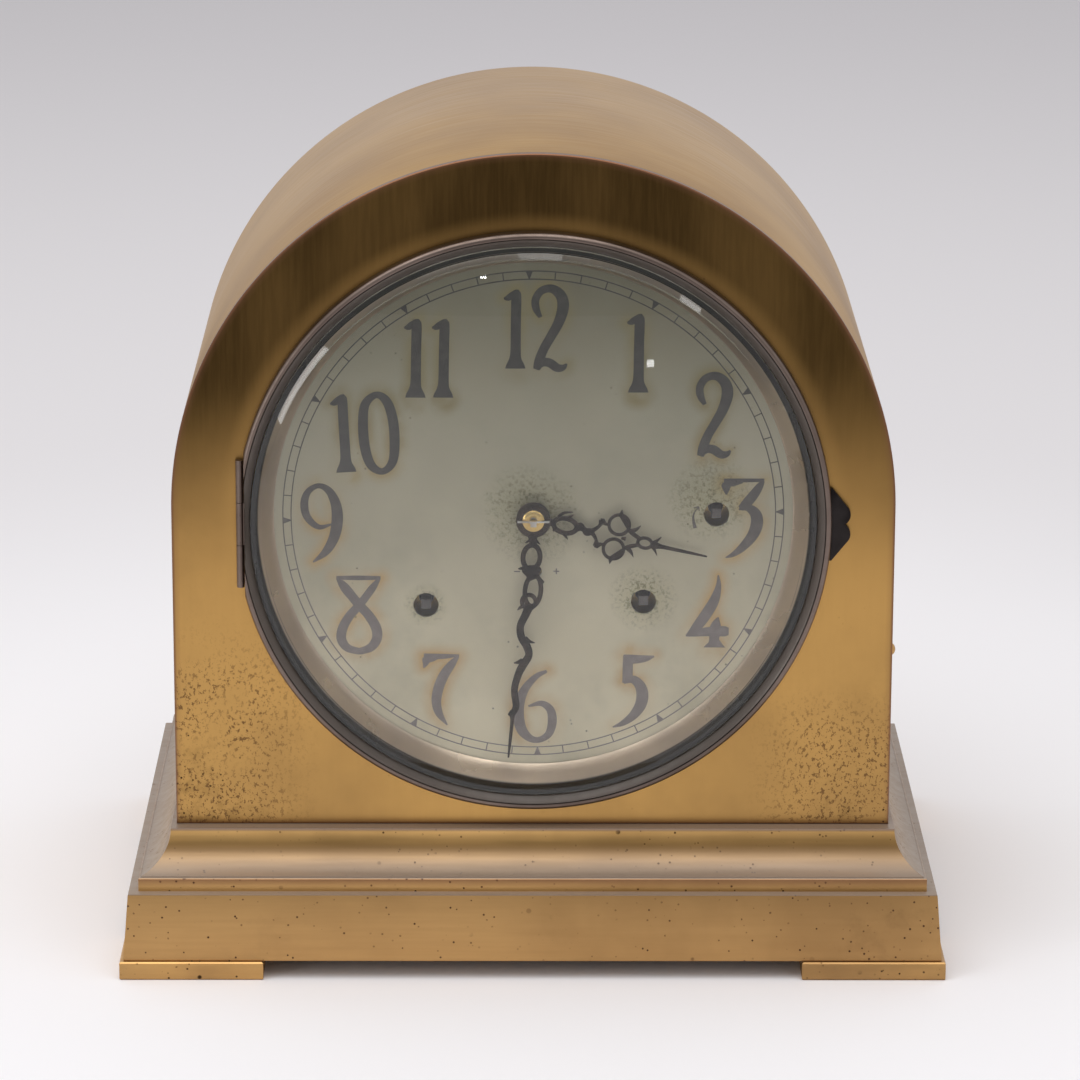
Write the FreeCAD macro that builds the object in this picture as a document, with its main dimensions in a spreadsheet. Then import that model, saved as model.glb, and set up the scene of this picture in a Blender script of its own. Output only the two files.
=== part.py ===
import FreeCAD, Part
import math
import os
import re

import Sketcher
from FreeCAD import Placement, Rotation, Vector

# Beehive shelf clock with an arched bronze case, three winding trains and a pendulum.
# Millimetres, +Z up, the front looks along -Y. The origin lies under the middle of the
# base, on the surface that the four feet stand on.

DRIVING_SIZES = (
    ("foot_proud", 1.4, "feet beyond the block on each side"),
    ("foot_length", 53.0, "one foot, side to side"),
    ("foot_depth", 46.0, "one foot, front to back"),
    ("foot_height", 6.9, "one foot, height"),
    ("block_half_width", 151.0, "base block at its lower edge"),
    ("block_half_depth", 106.6, "base block at its lower edge"),
    ("block_batter", 2.0, "how far each side of the block leans in"),
    ("block_height", 25.3, "base block, height"),
    ("block_wall", 4.0, "base block, side wall"),
    ("block_top_wall", 3.0, "base block, top wall"),
    ("bottom_board_thick", 8.0, "board that closes the base from below"),
    ("board_gap", 0.4, "play round each wooden board"),
    ("fillet_inset", 3.7, "square fillet in from the top of the block"),
    ("fillet_height", 5.0, "square fillet, height"),
    ("cove_height", 15.5, "hollow moulding, height"),
    ("cove_reach", 11.5, "hollow moulding, how far it spreads"),
    ("cove_wall", 6.0, "least wall between the cove and the inside"),
    ("floor_board_thick", 10.0, "wooden floor inside the case"),
    ("case_half_width", 132.0, "hood: outer half width and arch radius"),
    ("case_height", 305.0, "top of the arch over the table"),
    ("case_depth", 179.0, "front face to back edge"),
    ("case_wall", 2.4, "sheet of the hood"),
    ("front_thick", 3.0, "front plate"),
    ("front_overhang", 24.2, "feet ahead of the front plate"),
    ("stop_width", 8.0, "stops that the back door closes on"),
    ("stop_thick", 3.0, "door stops, front to back"),
    ("stop_length", 44.0, "door stops at the sides, height"),
    ("door_thick", 2.4, "back door sheet"),
    ("door_gap", 0.5, "play round the back door"),
    ("door_seat_gap", 0.3, "back door to its ledge"),
    ("door_hinge_height", 30.0, "lower end of the door hinge over the cove"),
    ("door_knuckle_length", 20.0, "one knuckle of the door hinge"),
    ("door_knuckle_radius", 1.8, "door hinge barrel"),
    ("door_hinge_lift", 2.0, "door hinge axis behind the case"),
    ("door_leaf_width", 10.0, "leaf on the back door"),
    ("door_leaf_thick", 1.0, "leaf on the back door"),
    ("hinge_pin_radius", 0.6, "both hinge pins"),
    ("hinge_gap", 0.2, "between neighbouring knuckles"),
    ("knob_edge", 17.0, "knob axis in from the case side"),
    ("knob_height", 60.0, "knob axis over the cove"),
    ("knob_radius", 5.5, "door knob"),
    ("knob_length", 11.0, "door knob behind the door"),
    ("knob_neck_radius", 2.8, "door knob, neck"),
    ("latch_shaft_radius", 1.5, "knob shaft through the door"),
    ("latch_length", 14.0, "latch tongue from the knob axis"),
    ("latch_width", 6.0, "latch tongue"),
    ("latch_thick", 2.0, "latch tongue"),
    ("running_play", 0.05, "radial play of a turning shaft"),
    ("seat_gap", 0.3, "room beside a piece that must stay free"),
    ("overrun", 1.0, "how far cutting tools pass the work"),
    ("dial_height", 168.4, "dial centre over the table"),
    ("dial_lap", 8.0, "dial plate behind the sloping ring"),
    ("dial_thick", 1.0, "dial plate"),
    ("dial_setback", 9.9, "dial face behind the front plate"),
    ("winding_hole_radius", 4.6, "three holes for the key"),
    ("front_lap", 3.2, "bezel over the edge of the round opening"),
    ("bezel_radius", 108.7, "bezel over all"),
    ("bezel_lift", 0.2, "bezel ahead of the front plate"),
    ("bezel_depth", 5.2, "bezel, back to crest"),
    ("bezel_flange_depth", 2.4, "outer bead of the bezel"),
    ("bezel_bead_width", 1.8, "outer bead of the bezel"),
    ("bezel_crest_width", 1.8, "slope up to the crest"),
    ("bezel_rim_drop", 1.8, "inner edge of the bezel behind its crest"),
    ("glass_inset", 5.6, "glass edge in from the outside of the bezel"),
    ("glass_thick", 1.8, "glass"),
    ("glass_dome", 8.5, "how far the glass bulges"),
    ("glass_play", 0.2, "glass in its seat"),
    ("sight_width", 8.1, "silvered sloping ring, seen from the front"),
    ("sight_sheet", 0.8, "silvered sloping ring, sheet"),
    ("sight_gap", 0.5, "sloping ring to the dial face"),
    ("bezel_hinge_inset", 1.8, "bezel hinge axis in from the outside of the bezel"),
    ("bezel_hinge_lift", 1.8, "bezel hinge axis ahead of the front plate"),
    ("bezel_knuckle_radius", 1.4, "bezel hinge barrel"),
    ("bezel_knuckle_length", 16.0, "one of three knuckles"),
    ("tab_half_height", 13.6, "finger tab"),
    ("tab_reach", 5.6, "finger tab, straight flank beyond the bezel"),
    ("tab_notch_reach", 4.7, "finger tab, notch beyond the bezel"),
    ("tab_lobe_height", 6.6, "where the flank meets a lobe"),
    ("tab_lobe_radius", 4.2, "rounding of each lobe"),
    ("tab_thick", 1.5, "finger tab"),
    ("tab_lift", 0.7, "finger tab ahead of the front plate"),
    ("side_screw_radius", 2.4, "round-headed screw on the right side"),
    ("side_screw_proud", 2.0, "round-headed screw, height of the head"),
    ("side_screw_back", 11.8, "round-headed screw behind the front face"),
    ("side_screw_height", 117.0, "round-headed screw over the table"),
    ("plate_thick", 2.5, "movement plates"),
    ("plate_space", 38.0, "between the movement plates"),
    ("plate_left", 72.0, "plates left of the dial centre"),
    ("plate_right", 106.0, "plates right of the dial centre"),
    ("plate_below", 66.0, "plates below the dial centre"),
    ("plate_above", 66.0, "plates above the dial centre"),
    ("plate_shoulder", 46.0, "height at which the plates narrow"),
    ("plate_top_left", 40.0, "narrow top, left of the dial centre"),
    ("plate_top_right", 40.0, "narrow top, right of the dial centre"),
    ("pillar_radius", 4.0, "plate pillars"),
    ("pillar_inset", 7.0, "pillars in from the plate edges"),
    ("dial_post_radius", 2.5, "posts behind the dial"),
    ("dial_post_length", 10.9, "posts behind the dial"),
    ("dial_post_side", 60.0, "posts, sideways"),
    ("dial_post_rise", 36.0, "upper posts, over the centre"),
    ("dial_post_drop", 58.0, "lower posts, under the centre"),
    ("seat_board_thick", 8.0, "board that carries the movement"),
    ("seat_overhang", 8.0, "seat board beyond the plates, sideways"),
    ("cheek_thick", 10.0, "upright that carries the seat board"),
    ("arbor_radius", 1.2, "train arbors"),
    ("winding_arbor_radius", 2.8, "barrel arbors"),
    ("winding_square", 3.6, "squares for the key, across the flats"),
    ("winding_square_back", 1.5, "squares end behind the dial face"),
    ("barrel_radius", 22.0, "mainspring barrels of time and strike"),
    ("chime_barrel_radius", 19.0, "mainspring barrel of the chime"),
    ("barrel_length", 21.0, "mainspring barrels of time and strike"),
    ("chime_barrel_length", 20.0, "mainspring barrel of the chime"),
    ("barrel_start", 4.0, "barrels behind the front plate of the movement"),
    ("great_thick", 2.2, "great wheels"),
    ("wheel_thick", 1.4, "train wheels"),
    ("pinion_length", 4.0, "train pinions"),
    ("time_side", 40.6, "time arbor, right of the centre"),
    ("time_drop", 32.6, "time arbor, below the centre"),
    ("strike_side", 39.4, "strike arbor, left of the centre"),
    ("strike_drop", 34.0, "strike arbor, below the centre"),
    ("chime_side", 67.1, "chime arbor, right of the centre"),
    ("chime_rise", 0.7, "chime arbor, above the centre"),
    ("great_module", 1.2, "tooth size of the great wheels"),
    ("second_module", 0.85, "tooth size of the second wheel"),
    ("centre_module", 0.67, "tooth size of the centre wheel"),
    ("third_module", 0.6, "tooth size of the third wheel"),
    ("cannon_module", 0.75, "tooth size of cannon pinion and minute wheel"),
    ("hour_module", 0.8, "tooth size of minute pinion and hour wheel"),
    ("escape_radius", 13.5, "escape wheel over its tips"),
    ("escape_root", 10.9, "escape wheel under its teeth"),
    ("pallet_rise", 18.0, "pallet arbor over the escape arbor"),
    ("pallet_gap", 0.5, "pallet nibs off the tooth tips"),
    ("second_plane", 33.0, "second wheel behind the front plate of the movement"),
    ("centre_plane", 13.5, "centre wheel, the same"),
    ("third_plane", 7.0, "third wheel, the same"),
    ("escape_plane", 21.0, "escape wheel, the same"),
    ("great_plane", 25.0, "time and strike great wheels, the same"),
    ("chime_great_plane", 28.5, "chime great wheel, the same"),
    ("sleeve_bore_play", 0.05, "centre wheel on the centre arbor"),
    ("centre_arbor_radius", 1.4, "centre arbor"),
    ("centre_square", 2.9, "square end of the centre arbor"),
    ("hour_pipe_radius", 3.0, "hour pipe, outside"),
    ("cannon_radius", 2.2, "cannon pipe, outside"),
    ("motion_plane", 2.0, "cannon pinion ahead of the movement"),
    ("motion_thick", 1.4, "wheels behind the dial"),
    ("hour_hand_front", 3.6, "hour hand back ahead of the dial face"),
    ("minute_hand_front", 6.4, "minute hand back ahead of the dial face"),
    ("hand_thick", 0.8, "hands"),
    ("hour_hand_short", 30.1, "hour hand tip to the visible edge of the dial"),
    ("minute_hand_short", 4.0, "minute hand tip to the visible edge of the dial"),
    ("hand_boss_radius", 6.2, "round end of both hands"),
    ("hand_washer_radius", 4.0, "brass washer"),
    ("hand_washer_thick", 0.6, "brass washer"),
    ("taper_pin_length", 11.7, "pin through the centre arbor"),
    ("taper_pin_radius", 0.45, "pin through the centre arbor"),
    ("arbor_end", 11.7, "centre arbor end ahead of the dial face"),
    ("regulator_side", 0.8, "regulator square, right of the centre"),
    ("regulator_drop", 21.0, "regulator square, below the centre"),
    ("regulator_radius", 1.6, "regulator arbor"),
    ("regulator_hole_radius", 2.4, "its hole in the dial"),
    ("pendulum_length", 145.0, "suspension to bob centre"),
    ("pendulum_plane", 9.5, "pendulum behind the movement"),
    ("pendulum_rod_radius", 1.2, "pendulum rod"),
    ("bob_radius", 19.0, "pendulum bob"),
    ("bob_thick", 8.0, "pendulum bob"),
    ("rating_nut_radius", 4.0, "nut under the bob"),
    ("rating_nut_height", 3.0, "nut under the bob"),
    ("spring_width", 5.0, "suspension strip"),
    ("spring_length", 9.0, "suspension strip"),
    ("spring_thick", 0.5, "suspension strip"),
    ("cock_width", 12.0, "suspension bracket"),
    ("cock_height", 7.0, "suspension bracket"),
    ("crutch_length", 40.0, "crutch, down to its fork"),
    ("crutch_thick", 1.2, "crutch strip"),
    ("crutch_width", 4.0, "crutch strip"),
    ("drum_lean", 60.0, "direction of the pin drum from the chime arbor, degrees"),
    ("drum_radius", 8.0, "pin drum"),
    ("drum_pin_length", 2.2, "pins of the drum"),
    ("drum_pin_width", 1.2, "pins of the drum"),
    ("drum_end_gap", 0.5, "pin drum to the plates at its ends"),
    ("gong_height", 92.0, "gong rods over the table"),
    ("gong_first", 24.0, "first gong rod behind the movement"),
    ("gong_step", 11.0, "from gong rod to gong rod"),
    ("gong_radius", 1.5, "gong rods"),
    ("gong_length", 206.0, "longest gong rod"),
    ("gong_length_step", 8.0, "each gong rod shorter by"),
    ("gong_foot", 106.0, "gong block from the middle, near face"),
    ("gong_block_width", 11.0, "gong block"),
    ("gong_block_margin", 7.0, "gong block beyond the rods"),
    ("hammer_side", 99.0, "hammer rod from the middle"),
    ("hammer_rod_rise", 16.0, "hammer rod over the gong rods"),
    ("hammer_rod_radius", 1.6, "hammer rod"),
    ("hammer_eye_radius", 3.4, "eye of each hammer"),
    ("hammer_thick", 3.0, "hammer arms, front to back"),
    ("hammer_arm_height", 3.0, "hammer arms"),
    ("hammer_reach", 21.0, "hammer heads from their rod"),
    ("hammer_head_radius", 3.2, "hammer heads"),
    ("hammer_head_gap", 1.0, "hammer heads over the gong rods"),
    ("hammer_tail_gap", 0.6, "hammer tails off the drum pins"),
    ("frame_thick", 2.0, "rear plate of the chime work"),
    ("frame_margin", 7.0, "rear plate round its pivots"),
    ("frame_post_radius", 2.0, "posts of the rear plate"),
)

TRAIN_TEETH = (
    ("great_teeth", 48, "time great wheel"),
    ("second_pinion_teeth", 6, "second pinion"),
    ("second_teeth", 40, "second wheel"),
    ("centre_pinion_teeth", 8, "centre pinion"),
    ("centre_teeth", 48, "centre wheel"),
    ("third_pinion_teeth", 6, "third pinion"),
    ("third_teeth", 45, "third wheel"),
    ("escape_pinion_teeth", 6, "escape pinion"),
    ("escape_teeth", 30, "escape wheel"),
    ("cannon_teeth", 8, "cannon pinion"),
    ("minute_teeth", 24, "minute wheel"),
    ("minute_pinion_teeth", 6, "minute pinion"),
    ("hour_teeth", 24, "hour wheel"),
    ("strike_great_teeth", 45, "strike great wheel"),
    ("chime_great_teeth", 36, "chime great wheel"),
    ("drum_pinion_teeth", 6, "pinion of the pin drum"),
)

WORKED_SIZES = (
    ("foot_half_width", "block_half_width + foot_proud"),
    ("foot_half_depth", "block_half_depth + foot_proud"),
    ("fillet_half_width", "block_half_width - block_batter - fillet_inset"),
    ("fillet_half_depth", "block_half_depth - block_batter - fillet_inset"),
    ("front_hole_radius", "bezel_radius - front_lap"),
    ("glass_radius", "bezel_radius - glass_inset"),
    ("sight_radius", "glass_radius - sight_width"),
    ("dial_radius", "sight_radius + dial_lap"),
    ("bezel_hinge_reach", "bezel_radius - bezel_hinge_inset"),
    ("hour_hand_length", "sight_radius - hour_hand_short"),
    ("minute_hand_length", "sight_radius - minute_hand_short"),
    ("case_front", "front_overhang - foot_half_depth"),
    ("case_back", "case_front + case_depth"),
    ("case_inner", "case_half_width - case_wall"),
    ("block_top", "foot_height + block_height"),
    ("cove_top", "block_top + fillet_height + cove_height"),
    ("floor_top", "block_top + floor_board_thick"),
    ("spring_line", "case_height - case_half_width"),
    ("hood_front", "case_front + front_thick"),
    ("door_front", "case_back - door_thick"),
    ("stop_front", "door_front - door_seat_gap - stop_thick"),
    ("door_half_width", "case_inner - door_gap"),
    ("door_bottom", "cove_top + door_gap"),
    ("inside_front", "hood_front + cove_wall"),
    ("inside_back", "stop_front"),
    ("cove_arc_radius", "(cove_height ^ 2 + cove_reach ^ 2) / (2 * cove_reach)"),
    ("dial_face", "case_front + dial_setback"),
    ("dial_back", "dial_face + dial_thick"),
    ("plate_front", "dial_back + dial_post_length"),
    ("inner_front", "plate_front + plate_thick"),
    ("inner_back", "inner_front + plate_space"),
    ("plate_back", "inner_back + plate_thick"),
    ("plate_bottom", "dial_height - plate_below"),
    ("seat_bottom", "plate_bottom - seat_board_thick"),
    ("second_reach", "great_module * (great_teeth + second_pinion_teeth) / 2"),
    ("centre_reach", "second_module * (second_teeth + centre_pinion_teeth) / 2"),
    ("time_far", "sqrt(time_side ^ 2 + time_drop ^ 2)"),
    ("second_along", "(second_reach ^ 2 - centre_reach ^ 2 + time_far ^ 2) / (2 * time_far)"),
    ("second_off", "sqrt(second_reach ^ 2 - second_along ^ 2)"),
    ("second_x", "time_side - (second_along * time_side + second_off * time_drop) / time_far"),
    ("second_z", "dial_height - time_drop + (second_along * time_drop - second_off * time_side) / time_far"),
    ("time_z", "dial_height - time_drop"),
    ("strike_x", "-strike_side"),
    ("strike_z", "dial_height - strike_drop"),
    ("chime_z", "dial_height + chime_rise"),
    ("third_reach", "centre_module * (centre_teeth + third_pinion_teeth) / 2"),
    ("third_x", "-third_reach / 2"),
    ("third_z", "dial_height + third_reach * sqrt(3) / 2"),
    ("escape_reach", "third_module * (third_teeth + escape_pinion_teeth) / 2"),
    ("escape_z", "third_z + sqrt(escape_reach ^ 2 - third_x ^ 2)"),
    ("pallet_z", "escape_z + pallet_rise"),
    ("minute_reach", "cannon_module * (cannon_teeth + minute_teeth) / 2"),
    ("minute_x", "minute_reach * sqrt(3) / 2"),
    ("minute_z", "dial_height + minute_reach / 2"),
    ("drum_reach", "great_module * (chime_great_teeth + drum_pinion_teeth) / 2"),
    ("drum_x", "chime_side + drum_reach * cos(drum_lean * 1 deg)"),
    ("drum_z", "chime_z - drum_reach * sin(drum_lean * 1 deg)"),
    ("pendulum_y", "plate_back + pendulum_plane"),
    ("bob_z", "pallet_z - pendulum_length"),
    ("gong_y", "plate_back + gong_first"),
    ("hammer_height", "gong_height + hammer_rod_rise"),
    ("chime_frame_y", "gong_y + 4 * gong_step + gong_block_margin"),
    ("bezel_hinge_y", "case_front - bezel_hinge_lift"),
    ("bezel_hinge_low", "dial_height - 1.5 * bezel_knuckle_length"),
    ("door_hinge_x", "-(case_half_width - case_wall / 2)"),
    ("door_hinge_y", "case_back + door_hinge_lift"),
    ("knob_x", "case_half_width - knob_edge"),
    ("knob_z", "cove_top + knob_height"),
)

doc = FreeCAD.newDocument("shelf_clock")
driving = doc.addObject("Spreadsheet::Sheet", "sizes")
worked = doc.addObject("Spreadsheet::Sheet", "worked")

NAME = re.compile(r"[A-Za-z_][A-Za-z_0-9]*")
FIRST_ROW = 2
sheet_of = {}
row_of_formula = {}
nodes = {}


def full(formula):
    """Put the sheet's name before every size that a formula uses."""
    def qualify(match):
        word = match.group()
        return sheet_of[word] + "." + word if word in sheet_of else word
    return NAME.sub(qualify, formula)


def fill_sheets():
    """Write the driving sizes as plain numbers and the worked ones as formulas."""
    for row, (alias, amount, note) in enumerate(DRIVING_SIZES + TRAIN_TEETH, start=FIRST_ROW):
        driving.set(f"A{row}", note)
        driving.set(f"B{row}", str(amount))
        driving.setAlias(f"B{row}", alias)
        sheet_of[alias] = "sizes"
    driving.recompute()
    for row, (alias, formula) in enumerate(WORKED_SIZES, start=FIRST_ROW):
        worked.set(f"A{row}", alias)
        worked.set(f"B{row}", "=" + full(formula))
        worked.setAlias(f"B{row}", alias)
        sheet_of[alias] = "worked"
    worked.recompute()


def number(formula):
    """The present value of a formula, worked out by the sheet."""
    if formula not in row_of_formula:
        row = FIRST_ROW + len(WORKED_SIZES) + len(row_of_formula)
        worked.set(f"A{row}", "'" + formula)
        worked.set(f"B{row}", "=" + full(formula))
        worked.recompute()
        row_of_formula[formula] = row
    return float(worked.get(f"B{row_of_formula[formula]}"))


def bind(thing, **formulas):
    """Tie properties of an object to formulas."""
    for key, formula in formulas.items():
        thing.setExpression(key, full(formula))


def place(thing, x="0", y="0", z="0", turn=None):
    """Tie an object's position to formulas, after an optional fixed turn."""
    thing.Placement = Placement(Vector(0, 0, 0), turn or Rotation())
    for key, formula in (("x", x), ("y", y), ("z", z)):
        thing.setExpression("Placement.Base." + key, full(formula))
    return thing


def node(label, thing):
    """Name a finished piece."""
    thing.Label = label
    nodes[label] = thing
    return thing


# Small round pieces have few flats, so that the whole clock stays light.
THIN_SIDES = 8
BAR_SIDES = 12
DRUM_SIDES = 24
RING_SIDES = 72
ALONG_X = Rotation(Vector(0, 1, 0), 90)
ALONG_Y = Rotation(Vector(1, 0, 0), -90)
ALONG_Z = Rotation()


def rod(radius, length, x="0", y="0", z="0", turn=ALONG_Y):
    """A round bar from (x, y, z) along +X, +Y or +Z."""
    thing = doc.addObject("Part::Cylinder", "rod")
    bind(thing, Radius=radius, Height=length)
    return place(thing, x, y, z, turn)


def ball(radius, x, y, z):
    thing = doc.addObject("Part::Sphere", "ball")
    bind(thing, Radius=radius)
    return place(thing, x, y, z)


def block(x0, x1, y0, y1, z0, z1):
    """A box between two formulas on each axis."""
    thing = doc.addObject("Part::Box", "block")
    bind(thing, Length=f"({x1}) - ({x0})", Width=f"({y1}) - ({y0})", Height=f"({z1}) - ({z0})")
    return place(thing, x0, y0, z0)


def bar(sides, radius, length, x="0", y="0", z="0", turn=ALONG_Y):
    """A many-sided bar from (x, y, z); its corners lie on the radius."""
    thing = doc.addObject("Part::Prism", "bar")
    thing.Polygon = sides
    bind(thing, Circumradius=radius, Height=length)
    return place(thing, x, y, z, turn)


def hole(sides, radius, length, x, y, z, turn=ALONG_Y):
    """A many-sided hole that clears a bar of the same radius, by running play."""
    widen = 1 / math.cos(math.pi / sides)
    return bar(sides, f"({radius} + running_play) * {widen:.6f}", length, x, y, z, turn)


def faceted(sides, *rings):
    """A solid of flat faces through many-sided rings about the Y axis, each one (radius, y)."""
    loops = []
    for radius, y in rings:
        turns = [2 * math.pi * index / sides for index in range(sides)]
        loops.append([Vector(radius * math.cos(turn), y, radius * math.sin(turn)) for turn in turns])
    faces = [Part.Face(Part.makePolygon(loop + loop[:1])) for loop in (loops[0], loops[-1])]
    for near, far in zip(loops, loops[1:]):
        for index in range(sides):
            after = (index + 1) % sides
            faces.append(Part.Face(Part.makePolygon([near[index], near[after], far[after],
                                                     far[index], near[index]])))
    solid = Part.makeSolid(Part.makeShell(faces))
    if solid.Volume < 0:
        solid.reverse()
    return solid


def feature(shape, x, y, z, turn=Rotation()):
    """A piece made by formula, set at its place."""
    thing = doc.addObject("Part::Feature", "made")
    thing.Shape = shape
    thing.Placement = Placement(Vector(number(x), number(y), number(z)), turn)
    return thing


def fuse(*things):
    thing = doc.addObject("Part::MultiFuse", "joined")
    thing.Shapes = list(things)
    return thing


def cut(base, *tools):
    thing = doc.addObject("Part::Cut", "cut")
    thing.Base = base
    thing.Tool = tools[0] if len(tools) == 1 else fuse(*tools)
    return thing


def group(*things):
    """Separate solids that share one node."""
    thing = doc.addObject("Part::Compound", "group")
    thing.Links = list(things)
    return thing


def origin_plane(body, role):
    return [feature for feature in body.Origin.OriginFeatures if feature.Role == role][0]


def arc_between(start, end, radius, side):
    """An arc that bulges to the left of its path when side is 1, to the right when it is -1."""
    middle = (start + end) * 0.5
    half = (end - start).Length / 2
    along = (end - start).normalize()
    rise = radius - math.sqrt(max(radius * radius - half * half, 0))
    top = middle + Vector(-along.y, along.x, 0) * (rise * side)
    return Part.Arc(start, top, end) if side < 0 else Part.Arc(end, top, start)


def sketch(body, role, steps=(), circles=()):
    """A fully constrained sketch.

    A step is (x, y) for a line to the next step, (x, y, radius, side) for an arc, or
    (x, y, radius, side, centre height) for an arc of half a circle or more.
    A circle is (x, y, radius). All are formulas, and each one is bound."""
    thing = body.newObject("Sketcher::SketchObject", "outline")
    thing.AttachmentSupport = (origin_plane(body, role), [""])
    thing.MapMode = "FlatFace"
    points = [Vector(number(step[0]), number(step[1]), 0) for step in steps]
    for index, step in enumerate(steps):
        start, end = points[index], points[(index + 1) % len(points)]
        if len(step) == 2:
            thing.addGeometry(Part.LineSegment(start, end), False)
        else:
            thing.addGeometry(arc_between(start, end, number(step[2]), step[3]), False)

    def tie(kind, formula, *where):
        which = thing.addConstraint(Sketcher.Constraint(kind, *where, number(formula)))
        thing.setExpression(f"Constraints[{which}]", full(formula))

    def ends(index):
        near = (thing.Geometry[index].StartPoint - points[index]).Length
        far = (thing.Geometry[index].EndPoint - points[index]).Length
        return (1, 2) if near < far else (2, 1)

    for index in range(len(steps)):
        follower = (index + 1) % len(steps)
        thing.addConstraint(Sketcher.Constraint("Coincident", index, ends(index)[1],
                                                follower, ends(follower)[0]))
    for index, step in enumerate(steps):
        tie("DistanceX", step[0], -1, 1, index, ends(index)[0])
        tie("DistanceY", step[1], -1, 1, index, ends(index)[0])
        if len(step) == 4:
            tie("Radius", step[2], index)
        if len(step) == 5:
            tie("DistanceY", step[4], -1, 1, index, 3)
    for x, y, radius in circles:
        index = thing.addGeometry(Part.Circle(Vector(number(x), number(y), 0), Vector(0, 0, 1),
                                              number(radius)), False)
        tie("DistanceX", x, -1, 1, index, 3)
        tie("DistanceY", y, -1, 1, index, 3)
        tie("Radius", radius, index)
    return thing


def body(x="0", y="0", z="0"):
    return place(doc.addObject("PartDesign::Body", "body"), x, y, z)


def pad(owner, outline, length):
    """Thicken an outline towards +Y, or towards +Z when it lies flat."""
    thing = owner.newObject("PartDesign::Pad", "pad")
    thing.Profile = outline
    thing.Reversed = outline.AttachmentSupport[0][0].Role == "XZ_Plane"
    bind(thing, Length=length)
    owner.Tip = thing
    return thing


def pocket(owner, outline, length):
    """Cut an outline out, the given length to both sides together, and see that it cuts."""
    before = owner.Tip
    thing = owner.newObject("PartDesign::Pocket", "pocket")
    thing.Profile = outline
    thing.Midplane = True
    bind(thing, Length=length)
    owner.Tip = thing
    doc.recompute()
    assert thing.Shape.Volume < before.Shape.Volume, outline.Name
    return thing


def turned(steps, x="0", y="0", z="0"):
    """A body turned about the Y axis: each step is (radius, y)."""
    owner = body(x, y, z)
    outline = sketch(owner, "XY_Plane", steps)
    thing = owner.newObject("PartDesign::Revolution", "turning")
    thing.Profile = outline
    thing.ReferenceAxis = (outline, ["V_Axis"])
    thing.Angle = 360
    owner.Tip = thing
    return owner


def arch(half_width, low, spring):
    """Steps of an arched outline that stands on its flat side."""
    return [(f"-({half_width})", low), (half_width, low),
            (half_width, spring, half_width, -1, spring), (f"-({half_width})", spring)]


def arch_band(outer, inner, low, spring):
    """Steps of an arched band that is open below."""
    return [(f"-({outer})", low), (f"-({inner})", low),
            (f"-({inner})", spring, inner, 1, spring), (inner, spring), (inner, low),
            (outer, low), (outer, spring, outer, -1, spring), (f"-({outer})", spring)]


# Base: four feet, a battered hollow block, and a cove that carries the case.

def make_base():
    feet = []
    for side in ("-foot_half_width", "foot_half_width - foot_length"):
        for back in ("-foot_half_depth", "foot_half_depth - foot_depth"):
            feet.append(block(side, f"{side} + foot_length", back, f"{back} + foot_depth",
                              "0", "foot_height"))
    node("feet", group(*feet))

    shell = doc.addObject("Part::Wedge", "battered_block")
    bind(shell, Xmin="-block_half_width", Xmax="block_half_width",
         Zmin="-block_half_depth", Zmax="block_half_depth",
         X2min="block_batter - block_half_width", X2max="block_half_width - block_batter",
         Z2min="block_batter - block_half_depth", Z2max="block_half_depth - block_batter",
         Ymin="0", Ymax="block_height")
    place(shell, z="foot_height", turn=Rotation(Vector(1, 0, 0), 90))
    side = "(block_half_width - block_batter - block_wall)"
    back = "(block_half_depth - block_batter - block_wall)"
    hollow = block(f"-{side}", side, f"-{back}", back,
                   "foot_height - overrun", "block_top - block_top_wall")
    node("base_block", cut(shell, hollow))
    bottom = block(f"board_gap - {side}", f"{side} - board_gap", f"board_gap - {back}",
                   f"{back} - board_gap", "foot_height", "foot_height + bottom_board_thick")

    owner = body(z="block_top")
    flat = sketch(owner, "XY_Plane", [("-fillet_half_width", "-fillet_half_depth"),
                                      ("fillet_half_width", "-fillet_half_depth"),
                                      ("fillet_half_width", "fillet_half_depth"),
                                      ("-fillet_half_width", "fillet_half_depth")])
    pad(owner, flat, "fillet_height + cove_height")
    doc.recompute()
    rise = "fillet_height + cove_height"
    for sign, bulge in (("-", -1), ("", 1)):
        outline = sketch(owner, "XZ_Plane", [
            (f"{sign}(fillet_half_width - cove_reach)", rise),
            (f"{sign}(fillet_half_width - cove_reach)", f"{rise} + overrun"),
            (f"{sign}(fillet_half_width + overrun)", f"{rise} + overrun"),
            (f"{sign}(fillet_half_width + overrun)", "fillet_height"),
            (f"{sign}fillet_half_width", "fillet_height", "cove_arc_radius", bulge)])
        pocket(owner, outline, "2 * (fillet_half_depth + overrun)")
    outline = sketch(owner, "YZ_Plane", [
        ("cove_reach - fillet_half_depth", rise),
        ("cove_reach - fillet_half_depth", f"{rise} + overrun"),
        ("-(fillet_half_depth + overrun)", f"{rise} + overrun"),
        ("-(fillet_half_depth + overrun)", "fillet_height"),
        ("-fillet_half_depth", "fillet_height", "cove_arc_radius", -1)])
    pocket(owner, outline, "2 * (fillet_half_width + overrun)")
    inside = sketch(owner, "XY_Plane", [("-(case_inner - cove_wall)", "inside_front"),
                                        ("case_inner - cove_wall", "inside_front"),
                                        ("case_inner - cove_wall", "inside_back"),
                                        ("-(case_inner - cove_wall)", "inside_back")])
    pocket(owner, inside, "3 * (fillet_height + cove_height)")
    node("base_cove", owner)
    floor = block("board_gap - case_inner + cove_wall", "case_inner - cove_wall - board_gap",
                  "inside_front + board_gap", "inside_back - board_gap", "block_top", "floor_top")
    node("base_boards", group(bottom, floor))


# Case: the arched hood, its front plate, the stops for the back door and a screw.

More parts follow.
